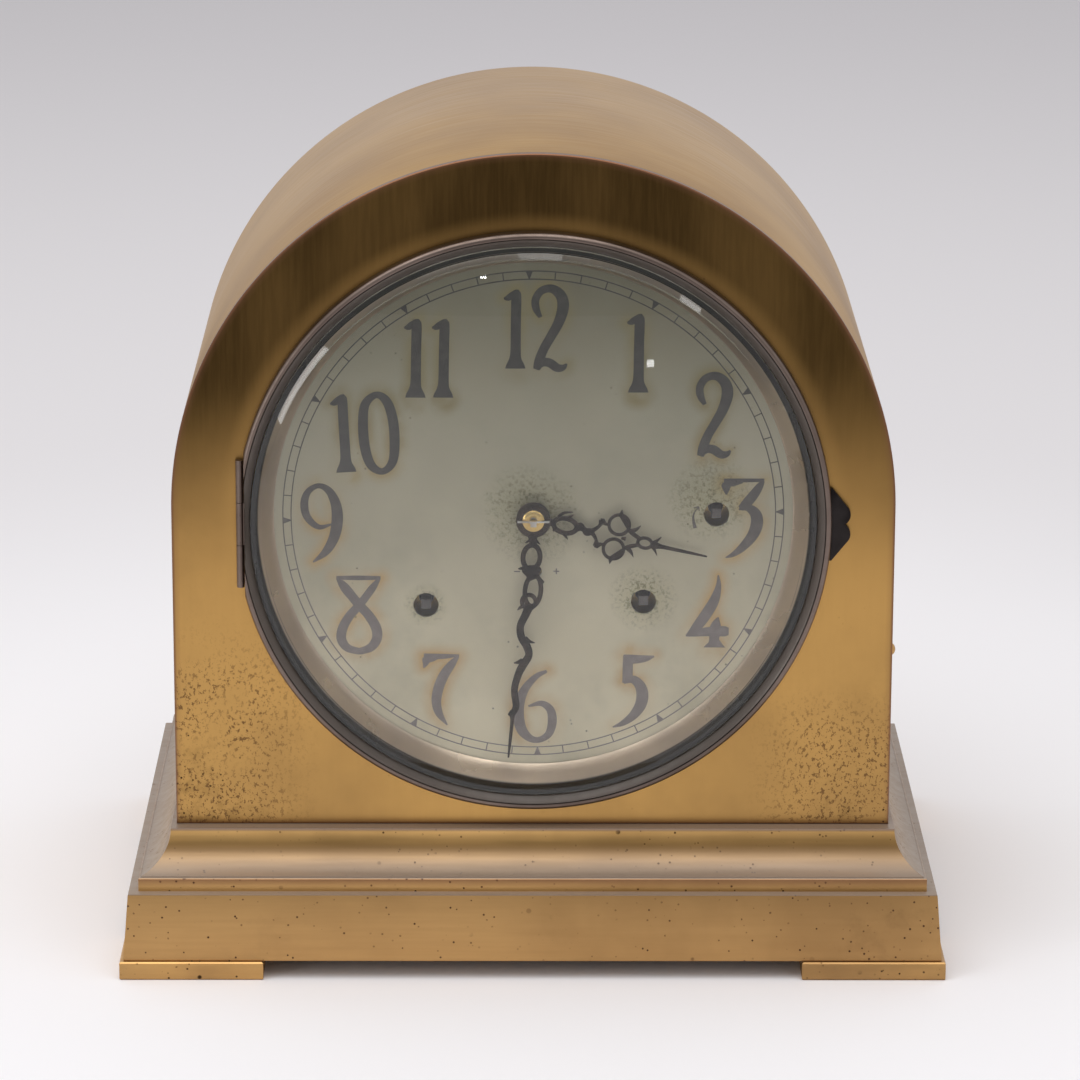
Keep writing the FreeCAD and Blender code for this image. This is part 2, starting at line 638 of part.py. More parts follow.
def make_case():
    hood = body(y="hood_front")
    pad(hood, sketch(hood, "XZ_Plane", arch_band("case_half_width", "case_inner", "cove_top",
                                                 "spring_line")), "case_depth - front_thick")
    node("case_hood", hood)

    front = body(y="case_front")
    pad(front, sketch(front, "XZ_Plane", arch("case_half_width", "cove_top", "spring_line"),
                      [("0", "dial_height", "front_hole_radius")]), "front_thick")
    node("front_plate", front)

    span = ("stop_front", "stop_front + stop_thick")
    low, high = "knob_z - stop_length / 2", "knob_z + stop_length / 2"
    node("door_stops", group(
        block("-case_inner", "stop_width - case_inner", *span, low, high),
        block("case_inner - stop_width", "case_inner", *span, low, high),
        block("-stop_length", "stop_length", *span, "cove_top", "cove_top + stop_width")))
    node("side_screw", bar(BAR_SIDES, "side_screw_radius", "side_screw_proud", "case_half_width",
                           "case_front + side_screw_back", "side_screw_height", ALONG_X))


# Back door: an arched sheet on a pinned hinge, with a turning knob and latch.

def make_back_door():
    door = body(y="door_front")
    pad(door, sketch(door, "XZ_Plane", arch("door_half_width", "door_bottom", "spring_line"),
                     [("knob_x", "knob_z", "latch_shaft_radius + running_play")]), "door_thick")
    node("back_door", door)

    low = "cove_top + door_hinge_height"
    fixed = []
    for place_in_row in range(3):
        start = f"{low} + {place_in_row} * door_knuckle_length + hinge_gap / 2"
        stop = f"{start} + door_knuckle_length - hinge_gap"
        barrel = bar(BAR_SIDES, "door_knuckle_radius", "door_knuckle_length - hinge_gap",
                     "door_hinge_x", "door_hinge_y", start, ALONG_Z)
        if place_in_row == 1:
            leaf = block("door_hinge_x", "door_leaf_width - door_half_width", "case_back + hinge_gap",
                         "case_back + hinge_gap + door_leaf_thick", start, stop)
            foot = block("door_knuckle_radius - door_half_width", "door_leaf_width - door_half_width",
                         "case_back", "case_back + hinge_gap", start, stop)
            bore = hole(THIN_SIDES, "hinge_pin_radius", "3 * door_knuckle_length",
                        "door_hinge_x", "door_hinge_y", low, ALONG_Z)
            node("door_hinge_leaf", cut(fuse(barrel, leaf, foot), bore))
        else:
            fixed += [barrel, block("-case_half_width", "-case_inner", "case_back",
                                    "door_hinge_y", start, stop)]
    pin = bar(THIN_SIDES, "hinge_pin_radius", "3 * door_knuckle_length - hinge_gap",
              "door_hinge_x", "door_hinge_y", f"{low} + hinge_gap / 2", ALONG_Z)
    node("door_hinge_fixed", fuse(pin, *fixed))

    latch_front = "stop_front - seat_gap - latch_thick"
    back = "case_back + running_play"
    shaft = bar(BAR_SIDES, "latch_shaft_radius", f"{back} - ({latch_front})",
                "knob_x", latch_front, "knob_z")
    neck = bar(BAR_SIDES, "knob_neck_radius", "knob_length / 2", "knob_x", back, "knob_z")
    head = bar(2 * BAR_SIDES, "knob_radius", "knob_length / 2", "knob_x",
               f"{back} + knob_length / 2", "knob_z")
    tongue = block("knob_x - latch_width / 2", "knob_x + latch_width / 2",
                   latch_front, f"{latch_front} + latch_thick", "knob_z - latch_length",
                   "knob_z + latch_width / 2")
    node("door_knob", fuse(shaft, neck, head, tongue))


# Bezel: a turned ring with its glass and silvered sloping ring, hinged at the left.

def make_bezel():
    back = "-bezel_lift"
    crest_radius = "(bezel_radius - bezel_bead_width - bezel_crest_width)"
    seat_radius = "(glass_radius + glass_play)"
    rim_front = "(bezel_lift + bezel_depth - bezel_rim_drop)"
    ring = turned([
        (seat_radius, back), (seat_radius, f"-{rim_front}"),
        (crest_radius, "-bezel_lift - bezel_depth"),
        ("bezel_radius", "-bezel_lift - bezel_flange_depth"), ("bezel_radius", back)],
        "0", "case_front", "dial_height")
    doc.recompute()
    notch = sketch(ring, "XZ_Plane", [
        ("-(bezel_radius + overrun)", "-(1.5 * bezel_knuckle_length + bezel_knuckle_radius)"),
        (f"-{NOTCH}", "-(1.5 * bezel_knuckle_length + bezel_knuckle_radius)"),
        (f"-{NOTCH}", "1.5 * bezel_knuckle_length + bezel_knuckle_radius"),
        ("-(bezel_radius + overrun)", "1.5 * bezel_knuckle_length + bezel_knuckle_radius")])
    pocket(ring, notch, "4 * bezel_depth")
    node("bezel_ring", ring)

    inner = "-(bezel_lift + bezel_depth - 2 * glass_thick)"
    outer = f"{inner} - glass_thick"
    panes = []
    for edge in (inner, outer):
        rings = []
        for share in DOME_RING_SHARES:
            rings.append((number("glass_radius") * share,
                          number(edge) - number("glass_dome") * (1 - share ** 2)))
        rings.insert(0, (rings[0][0], number(inner)))
        panes.append(faceted(DOME_SIDES, *(rings if edge == outer else rings[1:])))
    node("bezel_glass", feature(panes[1].cut(panes[0]), "0", "case_front", "dial_height"))

    rim, dial_edge = number(f"{inner} + running_play"), number("dial_setback - sight_gap")
    wide, narrow = number("glass_radius"), number("sight_radius")
    sheet = number("sight_sheet")
    funnel = faceted(RING_SIDES, (wide, rim), (narrow + sheet, dial_edge))
    throat = faceted(RING_SIDES, (wide - sheet, rim), (narrow, dial_edge))
    node("sight_ring", feature(funnel.cut(throat), "0", "case_front", "dial_height"))

    tab = body("0", "case_front - tab_lift - tab_thick", "dial_height")
    pad(tab, sketch(tab, "XZ_Plane", [
        ("bezel_radius - tab_reach", "-tab_half_height"),
        ("bezel_radius", "-tab_half_height"),
        ("bezel_radius + tab_reach", "-tab_lobe_height", "tab_lobe_radius", -1),
        ("bezel_radius + tab_notch_reach", "0", "tab_lobe_radius", -1),
        ("bezel_radius + tab_reach", "tab_lobe_height"),
        ("bezel_radius", "tab_half_height"),
        ("bezel_radius - tab_reach", "tab_half_height")]), "tab_thick")
    doc.recompute()
    pocket(tab, sketch(tab, "XZ_Plane", circles=[("0", "0", "bezel_radius + running_play")]),
           "4 * tab_thick")
    node("bezel_tab", tab)

    fixed = []
    for place_in_row in range(3):
        start = f"bezel_hinge_low + {place_in_row} * bezel_knuckle_length + hinge_gap / 2"
        stop = f"{start} + bezel_knuckle_length - hinge_gap"
        barrel = bar(BAR_SIDES, "bezel_knuckle_radius", "bezel_knuckle_length - hinge_gap",
                     "-bezel_hinge_reach", "bezel_hinge_y", start, ALONG_Z)
        if place_in_row == 1:
            arm = block("-bezel_hinge_reach", f"-{NOTCH}", "bezel_hinge_y - bezel_flange_depth / 4",
                        "bezel_hinge_y + bezel_flange_depth / 4", start, stop)
            bore = hole(THIN_SIDES, "hinge_pin_radius", "3 * bezel_knuckle_length",
                        "-bezel_hinge_reach", "bezel_hinge_y", "bezel_hinge_low", ALONG_Z)
            node("bezel_hinge_leaf", cut(fuse(barrel, arm), bore))
        else:
            fixed += [barrel, block("-bezel_hinge_reach - bezel_knuckle_radius",
                                    "-bezel_hinge_reach", "bezel_hinge_y", "case_front",
                                    start, stop)]
    pin = bar(THIN_SIDES, "hinge_pin_radius", "3 * bezel_knuckle_length - hinge_gap",
              "-bezel_hinge_reach", "bezel_hinge_y", "bezel_hinge_low + hinge_gap / 2", ALONG_Z)
    node("bezel_hinge_fixed", fuse(pin, *fixed))


DOME_SIDES = 36
DOME_RING_SHARES = (1.0, 0.7, 0.35)
NOTCH = "(bezel_hinge_reach - bezel_knuckle_radius - seat_gap)"


# Dial, its posts, and the two plates of the movement on their wooden seat.

ARBOR_HOLE = "arbor_radius + running_play"


def make_dial():
    dial = bar(RING_SIDES, "dial_radius", "dial_thick", "0", "dial_face", "dial_height")
    key_holes = [bar(2 * THIN_SIDES, "winding_hole_radius", "3 * dial_thick", x,
                     "dial_face - dial_thick", z) for x, z in WINDING_ARBORS]
    centre = hole(BAR_SIDES, "hour_pipe_radius + 2 * running_play", "3 * dial_thick", "0",
                  "dial_face - dial_thick", "dial_height")
    regulator = bar(BAR_SIDES, "regulator_hole_radius", "3 * dial_thick", "regulator_side",
                    "dial_face - dial_thick", "dial_height - regulator_drop")
    node("dial_plate", cut(dial, centre, regulator, *key_holes))
    posts = []
    for side in ("-dial_post_side", "dial_post_side"):
        for height in ("dial_height + dial_post_rise", "dial_height - dial_post_drop"):
            posts.append(bar(BAR_SIDES, "dial_post_radius", "dial_post_length", side, "dial_back",
                             height))
    node("dial_posts", group(*posts))


def plate_outline():
    return [("-plate_left", "-plate_below"), ("plate_right", "-plate_below"),
            ("plate_right", "plate_shoulder"), ("plate_top_right", "plate_above"),
            ("-plate_top_left", "plate_above"), ("-plate_left", "plate_shoulder")]


THIN_ARBORS = (("second_x", "second_z"), ("third_x", "third_z"), ("0", "escape_z"),
               ("0", "pallet_z"), ("drum_x", "drum_z"))
WINDING_ARBORS = (("time_side", "time_z"), ("strike_x", "strike_z"), ("chime_side", "chime_z"))


def make_plates():
    for label, start in (("movement_front_plate", "plate_front"),
                         ("movement_back_plate", "inner_back")):
        plate = body("0", start, "dial_height")
        pad(plate, sketch(plate, "XZ_Plane", plate_outline()), "plate_thick")
        depth = "plate_thick + 2 * overrun"
        tools = [hole(THIN_SIDES, "arbor_radius", depth, x, f"{start} - overrun", z)
                 for x, z in THIN_ARBORS]
        tools += [hole(BAR_SIDES, "winding_arbor_radius", depth, x, f"{start} - overrun", z)
                  for x, z in WINDING_ARBORS]
        tools.append(hole(BAR_SIDES, "centre_arbor_radius", depth, "0", f"{start} - overrun",
                          "dial_height"))
        if label == "movement_front_plate":
            tools.append(hole(THIN_SIDES, "regulator_radius", depth, "regulator_side",
                              f"{start} - overrun", "dial_height - regulator_drop"))
            stud = bar(THIN_SIDES, "arbor_radius", "motion_plane + 4 * motion_thick", "minute_x",
                       "plate_front - motion_plane - 4 * motion_thick", "minute_z")
            node(label, fuse(cut(plate, *tools), stud))
        else:
            node(label, cut(plate, *tools))
    corners = (("pillar_inset - plate_left", "plate_bottom + pillar_inset"),
               ("plate_right - pillar_inset", "plate_bottom + pillar_inset"),
               ("pillar_inset - plate_left", "dial_height + plate_shoulder - pillar_inset"),
               ("plate_right - pillar_inset", "dial_height + plate_shoulder - pillar_inset"))
    node("plate_pillars", group(*[bar(BAR_SIDES, "pillar_radius", "plate_space", x, "inner_front", z)
                                  for x, z in corners]))
    board = block("-plate_left - seat_overhang", "plate_right + seat_overhang",
                  "plate_front", "plate_back", "seat_bottom", "plate_bottom")
    cheeks = [block(x, f"{x} + cheek_thick", "plate_front", "plate_back", "floor_top", "seat_bottom")
              for x in ("-plate_left - seat_overhang", "plate_right + seat_overhang - cheek_thick")]
    node("movement_seat", group(board, *cheeks))


# Toothed wheels. Their teeth are plain wedges, thin enough to run freely.

TIP_SHARE = 0.8
ROOT_SHARE = 1.1


def wedge_face(teeth, tip, root, turn, lean=0.0):
    """Outline of a wheel of pointed teeth, one of them at the angle turn."""
    pitch = 2 * math.pi / teeth
    points = []
    for index in range(teeth):
        middle = turn + index * pitch
        for radius, angle in ((tip, middle + lean * pitch), (root, middle + pitch / 2)):
            points.append(Vector(radius * math.cos(angle), 0, radius * math.sin(angle)))
    return Part.Face(Part.makePolygon(points + points[:1]))


def toothed(teeth, module, turn, thick, start=0.0):
    """A wheel or pinion of straight teeth, thick towards +Y from start."""
    face = wedge_face(teeth, module * (teeth / 2 + TIP_SHARE), module * (teeth / 2 - ROOT_SHARE),
                      turn)
    face.translate(Vector(0, start, 0))
    return face.extrude(Vector(0, thick, 0))


def drum(sides, radius, length, start=0.0):
    """A many-sided bar along Y, its corners on the radius."""
    corners = [Vector(radius * math.cos(2 * math.pi * index / sides), start,
                      radius * math.sin(2 * math.pi * index / sides)) for index in range(sides)]
    return Part.Face(Part.makePolygon(corners + corners[:1])).extrude(Vector(0, length, 0))


def bored(shape, sides, radius):
    """Take a many-sided bore that clears the radius out of a shape."""
    reach = number("plate_space")
    return shape.cut(drum(sides, radius / math.cos(math.pi / sides), 2 * reach, -reach))


def crossed_out(shape, hub, rim, arms, thick):
    """Cut straight-sided windows between the arms of a wheel."""
    arm = rim * ARM_SHARE
    for index in range(arms):
        half = math.pi / arms
        middle = (2 * index + 1) * half
        corners = []
        for radius, side in ((hub, -1), (rim, -1), (rim, 1), (hub, 1)):
            angle = middle + side * (half - math.asin(arm / radius))
            corners.append(Vector(radius * math.cos(angle), 0, radius * math.sin(angle)))
        corners.insert(2, Vector(rim * math.cos(middle), 0, rim * math.sin(middle)))
        shape = shape.cut(Part.Face(Part.makePolygon(corners + corners[:1]))
                          .extrude(Vector(0, thick, 0)))
    return shape


ARM_SHARE = 0.09
RIM_WIDTH = 2.4
WHEEL_ARMS = 4


def teeth_of(name):
    return int(round(number(name)))


def direction(x0, z0, x1, z1):
    """Angle from one arbor to another."""
    return math.atan2(number(z1) - number(z0), number(x1) - number(x0))


def facing_gap(towards, teeth):
    """Turn that puts a gap, not a tooth, on the line back to the driving wheel."""
    return towards + math.pi + math.pi / teeth


def make_barrel(label, teeth_name, radius_name, length_name, x, z, plane, towards):
    """Spring barrel with its great wheel, free on the winding arbor."""
    bore = number("winding_arbor_radius + running_play")
    start = number(f"barrel_start - {plane}")
    case = drum(DRUM_SIDES, number(radius_name), number(length_name), start)
    hub = drum(BAR_SIDES, 2 * bore, -start)
    hub.translate(Vector(0, start, 0))
    wheel = toothed(teeth_of(teeth_name), number("great_module"), towards, number("great_thick"))
    shape = bored(wheel.fuse(case).fuse(hub), BAR_SIDES, bore)
    node(label, feature(shape, x, f"inner_front + {plane}", z))


def make_winding_arbor(label, x, z):
    front = "dial_face + winding_square_back"
    shaft = bar(BAR_SIDES, "winding_arbor_radius", "plate_back - plate_front", x, "plate_front", z)
    square = block(f"{x} - winding_square / 2", f"{x} + winding_square / 2", front, "plate_front",
                   f"{z} - winding_square / 2", f"{z} + winding_square / 2")
    node(label, fuse(shaft, square))


def arbor(x, z, pinion_teeth, module, plane, towards, extra="plate_thick - plate_thick"):
    """Arbor through the plates, with the leaves of its pinion."""
    teeth = teeth_of(pinion_teeth)
    leaves = toothed(teeth, number(module), facing_gap(towards, teeth), number("pinion_length"),
                     number("(wheel_thick - pinion_length) / 2"))
    front = number(f"plate_front - inner_front - {plane}")
    shaft = drum(THIN_SIDES, number("arbor_radius"), number(f"plate_back - plate_front + {extra}"),
                 front)
    return feature(shaft.fuse(leaves), x, f"inner_front + {plane}", z)


def wheel(x, z, teeth_name, module, plane, towards, bore):
    """A crossed out brass wheel."""
    teeth, size, thick = teeth_of(teeth_name), number(module), number("wheel_thick")
    shape = toothed(teeth, size, towards, thick)
    shape = crossed_out(shape, number(bore) * 2.2, size * (teeth / 2 - RIM_WIDTH), WHEEL_ARMS, thick)
    sides = THIN_SIDES if bore == "arbor_radius" else BAR_SIDES
    shape = shape.cut(drum(sides, number(bore), thick))
    return feature(shape, x, f"inner_front + {plane}", z)


def make_time_train():
    to_second = direction("time_side", "time_z", "second_x", "second_z")
    make_barrel("time_barrel", "great_teeth", "barrel_radius", "barrel_length", "time_side",
                "time_z", "great_plane", to_second)
    make_winding_arbor("time_winding_arbor", "time_side", "time_z")
    second = arbor("second_x", "second_z", "second_pinion_teeth", "great_module", "great_plane",
                   to_second)
    to_centre = direction("second_x", "second_z", "0", "dial_height")
    node("second_wheel", group(second, wheel("second_x", "second_z", "second_teeth",
                                             "second_module", "second_plane", to_centre,
                                             "arbor_radius")))

    teeth = teeth_of("centre_pinion_teeth")
    pinion = toothed(teeth, number("second_module"), facing_gap(to_centre, teeth),
                     number("pinion_length"),
                     number("second_plane - (pinion_length - wheel_thick) / 2"))
    sleeve = "centre_arbor_radius + arbor_radius"
    pipe = drum(BAR_SIDES, number(sleeve), number("second_plane - centre_plane"),
                number("centre_plane"))
    pinion = bored(pinion.fuse(pipe), BAR_SIDES, number("centre_arbor_radius + sleeve_bore_play"))
    to_third = direction("0", "dial_height", "third_x", "third_z")
    node("centre_wheel", group(feature(pinion, "0", "inner_front", "dial_height"),
                               wheel("0", "dial_height", "centre_teeth", "centre_module",
                                     "centre_plane", to_third, sleeve)))

    to_escape = direction("third_x", "third_z", "0", "escape_z")
    node("third_wheel", group(
        arbor("third_x", "third_z", "third_pinion_teeth", "centre_module", "centre_plane",
              to_third),
        wheel("third_x", "third_z", "third_teeth", "third_module", "third_plane", to_escape,
              "arbor_radius")))
    thick = number("wheel_thick")
    hooked = wedge_face(teeth_of("escape_teeth"), number("escape_radius"), number("escape_root"),
                        0.0, ESCAPE_LEAN).extrude(Vector(0, thick, 0))
    hooked = crossed_out(hooked, number("arbor_radius") * 2.2,
                         number("escape_root") * ESCAPE_RIM_SHARE, WHEEL_ARMS, thick)
    hooked = hooked.cut(drum(THIN_SIDES, number("arbor_radius"), thick))
    node("escape_wheel", group(
        arbor("0", "escape_z", "escape_pinion_teeth", "third_module", "third_plane", to_escape),
        feature(hooked, "0", "inner_front + escape_plane", "escape_z")))


ESCAPE_LEAN = 0.4
ESCAPE_RIM_SHARE = 0.84


# Escapement and pendulum, which swing about one line.

def make_pendulum():
    reach = number("pallet_rise")
    tip = number("escape_radius + pallet_gap")
    spread = math.radians(48)
    thick = number("wheel_thick")
    foot_x, foot_z = tip * math.sin(spread), tip * math.cos(spread) - reach
    width = number("arbor_radius")
    arms = drum(BAR_SIDES, 2 * width, thick)
    for side in (-1, 1):
        outline = [Vector(0, 0, 1.5 * width), Vector(side * (foot_x + 2 * width), 0, foot_z + 2.4 * width),
                   Vector(side * (foot_x + 1.5 * width), 0, foot_z), Vector(side * foot_x, 0, foot_z),
                   Vector(side * (foot_x - 0.2 * width), 0, foot_z + 2.4 * width),
                   Vector(0, 0, -0.9 * width)]
        arms = arms.fuse(Part.Face(Part.makePolygon(outline + outline[:1]))
                         .extrude(Vector(0, thick, 0)))
    room = drum(DRUM_SIDES, tip, thick)
    room.translate(Vector(0, 0, -reach))
    arms = arms.cut(room).cut(drum(THIN_SIDES, width, thick))
    staff = bar(THIN_SIDES, "arbor_radius", "plate_back - plate_front + crutch_thick + seat_gap",
                "0", "plate_front", "pallet_z")
    node("pallets", group(feature(arms, "0", "inner_front + escape_plane", "pallet_z"), staff))

    crutch_y = "plate_back + seat_gap"
    strip = block("-crutch_width / 2", "crutch_width / 2", crutch_y, f"{crutch_y} + crutch_thick",
                  "pallet_z - crutch_length", "pallet_z + crutch_width")
    eye = bar(THIN_SIDES, "arbor_radius", "crutch_thick + 2 * overrun", "0", f"{crutch_y} - overrun", "pallet_z")
    fork = block("-crutch_width", "crutch_width", crutch_y,
                 "pendulum_y + 2 * pendulum_rod_radius",
                 "pallet_z - crutch_length", "pallet_z - crutch_length + crutch_thick")
    slot = block("-pendulum_rod_radius - running_play", "pendulum_rod_radius + running_play",
                 "pendulum_y - 2 * pendulum_rod_radius", "pendulum_y + pendulum_rod_radius + overrun * 4",
                 "pallet_z - crutch_length - overrun", "pallet_z - crutch_length + crutch_thick + overrun")
    node("crutch", cut(cut(fuse(strip, fork), slot), eye))

    cock = block("-cock_width / 2", "cock_width / 2", "plate_back",
                 "pendulum_y + 2 * spring_thick + seat_gap", "pallet_z + 2 * crutch_width",
                 "pallet_z + 2 * crutch_width + cock_height")
    chops = block("-spring_width / 2", "spring_width / 2", "pendulum_y - 2 * spring_thick",
                  "pendulum_y + 2 * spring_thick", "pallet_z + seat_gap",
                  "pallet_z + 2 * crutch_width")
    node("suspension_cock", fuse(cock, chops))
    node("suspension_spring", block("-spring_width / 2", "spring_width / 2",
                                    "pendulum_y - spring_thick / 2", "pendulum_y + spring_thick / 2",
                                    "pallet_z - spring_length", "pallet_z"))
    thread_low = "bob_z - bob_radius - 2 * rating_nut_height"
    node("pendulum_rod", bar(BAR_SIDES, "pendulum_rod_radius", f"pallet_z - spring_length - ({thread_low})",
                             "0", "pendulum_y", thread_low, ALONG_Z))
    wide, half = number("bob_radius"), number("bob_thick / 2")
    bob = feature(faceted(DRUM_SIDES, (0.55 * wide, -half), (wide, -half / 4), (wide, half / 4),
                          (0.55 * wide, half)), "0", "pendulum_y", "bob_z")
    node("pendulum_bob", cut(bob, bar(BAR_SIDES, "pendulum_rod_radius",
                                      "2 * bob_radius + 2 * overrun", "0", "pendulum_y",
                                      "bob_z - bob_radius - overrun", ALONG_Z)))
    nut_low = "bob_z - bob_radius - seat_gap - rating_nut_height"
    node("rating_nut", cut(bar(BAR_SIDES, "rating_nut_radius", "rating_nut_height", "0",
                               "pendulum_y", nut_low, ALONG_Z),
                           hole(BAR_SIDES, "pendulum_rod_radius",
                                "rating_nut_height + 2 * overrun", "0", "pendulum_y",
                                f"{nut_low} - overrun", ALONG_Z)))


# Motion work and hands.

def make_motion_work():
    plane = "plate_front - motion_plane"
    thick = number("motion_thick")
    to_minute = direction("0", "dial_height", "minute_x", "minute_z")
    cannon = toothed(teeth_of("cannon_teeth"), number("cannon_module"), to_minute, thick, -thick)
    pipe_front = number(f"{plane} - (dial_face - minute_hand_front)")
    cannon = cannon.fuse(drum(BAR_SIDES, number("cannon_radius"), pipe_front, -pipe_front))
    cannon = cannon.cut(drum(BAR_SIDES, number("centre_arbor_radius"), 3 * pipe_front,
                             -2 * pipe_front))
    node("cannon_pinion", feature(cannon, "0", plane, "dial_height"))

    teeth = teeth_of("minute_teeth")
    large = toothed(teeth, number("cannon_module"), facing_gap(to_minute, teeth), thick, -thick)
    back_to_centre = to_minute + math.pi
    small = toothed(teeth_of("minute_pinion_teeth"), number("hour_module"), back_to_centre,
                    2.4 * thick, -3.4 * thick)
    node("minute_wheel", feature(bored(large.fuse(small), THIN_SIDES,
                                       number("arbor_radius + running_play")),
                                 "minute_x", plane, "minute_z"))

    teeth = teeth_of("hour_teeth")
    hour = toothed(teeth, number("hour_module"), facing_gap(back_to_centre, teeth), thick, -thick)
    pipe = number(f"{plane} - 2 * motion_thick - (dial_face - hour_hand_front)")
    hour = hour.fuse(drum(BAR_SIDES, number("hour_pipe_radius"), pipe, -pipe))
    hour = bored(hour, BAR_SIDES, number("cannon_radius + running_play"))
    node("hour_wheel", feature(hour, "0", f"{plane} - 2 * motion_thick", "dial_height"))

    washer_back = "dial_face - minute_hand_front - hand_thick"
    shaft = bar(BAR_SIDES, "centre_arbor_radius", f"plate_back - ({washer_back})", "0",
                washer_back, "dial_height")
    half = "centre_square / 4 + centre_arbor_radius / 4"
    square = block(f"-({half})", half, "dial_face - arbor_end", washer_back,
                   f"dial_height - ({half})", f"dial_height + {half}")
    node("centre_arbor", fuse(shaft, square))
    node("hand_washer", cut(bar(2 * BAR_SIDES, "hand_washer_radius", "hand_washer_thick", "0",
                                f"{washer_back} - hand_washer_thick", "dial_height"),
                            block(f"-({half})", half, f"{washer_back} - hand_washer_thick - overrun",
                                  f"{washer_back} + overrun", f"dial_height - ({half})",
                                  f"dial_height + {half}")))
    pin_y = f"{washer_back} - hand_washer_thick - taper_pin_radius"
    pin = bar(THIN_SIDES, "taper_pin_radius", "taper_pin_length", "-taper_pin_length / 2", pin_y,
              "dial_height", ALONG_X)
    node("hand_taper_pin", pin)
    nodes["centre_arbor"].Label = "arbor_before_drilling"
    drill = bar(THIN_SIDES, "taper_pin_radius", "taper_pin_length", "-taper_pin_length / 2",
                pin_y, "dial_height", ALONG_X)
    node("centre_arbor", cut(nodes.pop("centre_arbor"), drill))
    square_half = "regulator_radius * 0.6"
    node("regulator_arbor", fuse(
        bar(THIN_SIDES, "regulator_radius", "inner_front - dial_back", "regulator_side",
            "dial_back", "dial_height - regulator_drop"),
        block(f"regulator_side - {square_half}", f"regulator_side + {square_half}",
              "dial_face", "dial_back", f"dial_height - regulator_drop - {square_half}",
              f"dial_height - regulator_drop + {square_half}")))


# Places along a hand, as shares of its length: discs (along, across, radius),
# holes the same, and tapering bars (start, end, start width, end width).
HOUR_DISC_SHARES = ((0.175, 0.0, 0.075), (0.42, 0.01, 0.04), (0.52, -0.085, 0.072),
                    (0.50, 0.105, 0.072), (0.60, 0.01, 0.07), (0.69, 0.01, 0.04))
HOUR_HOLE_SHARES = ((0.175, 0.0, 0.042), (0.52, -0.085, 0.046), (0.50, 0.105, 0.046),
                    (0.60, 0.01, 0.03))
HOUR_BAR_SHARES = ((0.05, 0.45, 0.05, 0.05), (0.4, 0.78, 0.10, 0.05), (0.76, 1.0, 0.035, 0.014))
MINUTE_DISC_SHARES = ((0.165, 0.0, 0.042), (0.245, 0.0, 0.045), (0.36, 0.01, 0.045),
                      (0.54, -0.012, 0.022))
MINUTE_HOLE_SHARES = ((0.165, 0.0, 0.024), (0.36, 0.01, 0.027))
MINUTE_BAR_SHARES = ((0.05, 0.4, 0.04, 0.04), (0.38, 0.84, 0.034, 0.03), (0.82, 1.0, 0.02, 0.008))


def make_hand(label, length_name, front, inner, discs, holes, bars, clock_angle):
    """A pierced hand, drawn pointing up and turned to where it stands."""
    length, thick = number(length_name), number("hand_thick")
    shape = drum(2 * BAR_SIDES, number("hand_boss_radius"), thick)
    for start, end, wide, narrow in bars:
        outline = [Vector(-wide * length / 2, 0, start * length), Vector(wide * length / 2, 0, start * length),
                   Vector(narrow * length / 2, 0, end * length), Vector(-narrow * length / 2, 0, end * length)]
        shape = shape.fuse(Part.Face(Part.makePolygon(outline + outline[:1]))
                           .extrude(Vector(0, thick, 0)))
    for cutting, spots in ((False, discs), (True, holes)):
        for along, across, radius in spots:
            spot = drum(BAR_SIDES, radius * length, thick)
            spot.translate(Vector(across * length, 0, along * length))
            shape = shape.cut(spot) if cutting else shape.fuse(spot)
    shape = bored(shape, BAR_SIDES, number(inner)).removeSplitter()
    node(label, feature(shape, "0", f"dial_face - {front} - hand_thick", "dial_height",
                        Rotation(Vector(0, 1, 0), clock_angle)))


HOUR_HAND_ANGLE = 102.6
MINUTE_HAND_ANGLE = 185.7


def make_hands():
    make_hand("hour_hand", "hour_hand_length", "hour_hand_front", "hour_pipe_radius",
              HOUR_DISC_SHARES, HOUR_HOLE_SHARES, HOUR_BAR_SHARES, HOUR_HAND_ANGLE)
    make_hand("minute_hand", "minute_hand_length", "minute_hand_front", "centre_arbor_radius",
              MINUTE_DISC_SHARES, MINUTE_HOLE_SHARES, MINUTE_BAR_SHARES, MINUTE_HAND_ANGLE)


# Strike and chime: barrels, a pin drum, five gong rods and their hammers.

GONGS = 5
DRUM_PINS = 4


def make_strike():
    make_barrel("strike_barrel", "strike_great_teeth", "barrel_radius", "barrel_length",
                "strike_x", "strike_z", "great_plane", 0.0)
    make_winding_arbor("strike_winding_arbor", "strike_x", "strike_z")


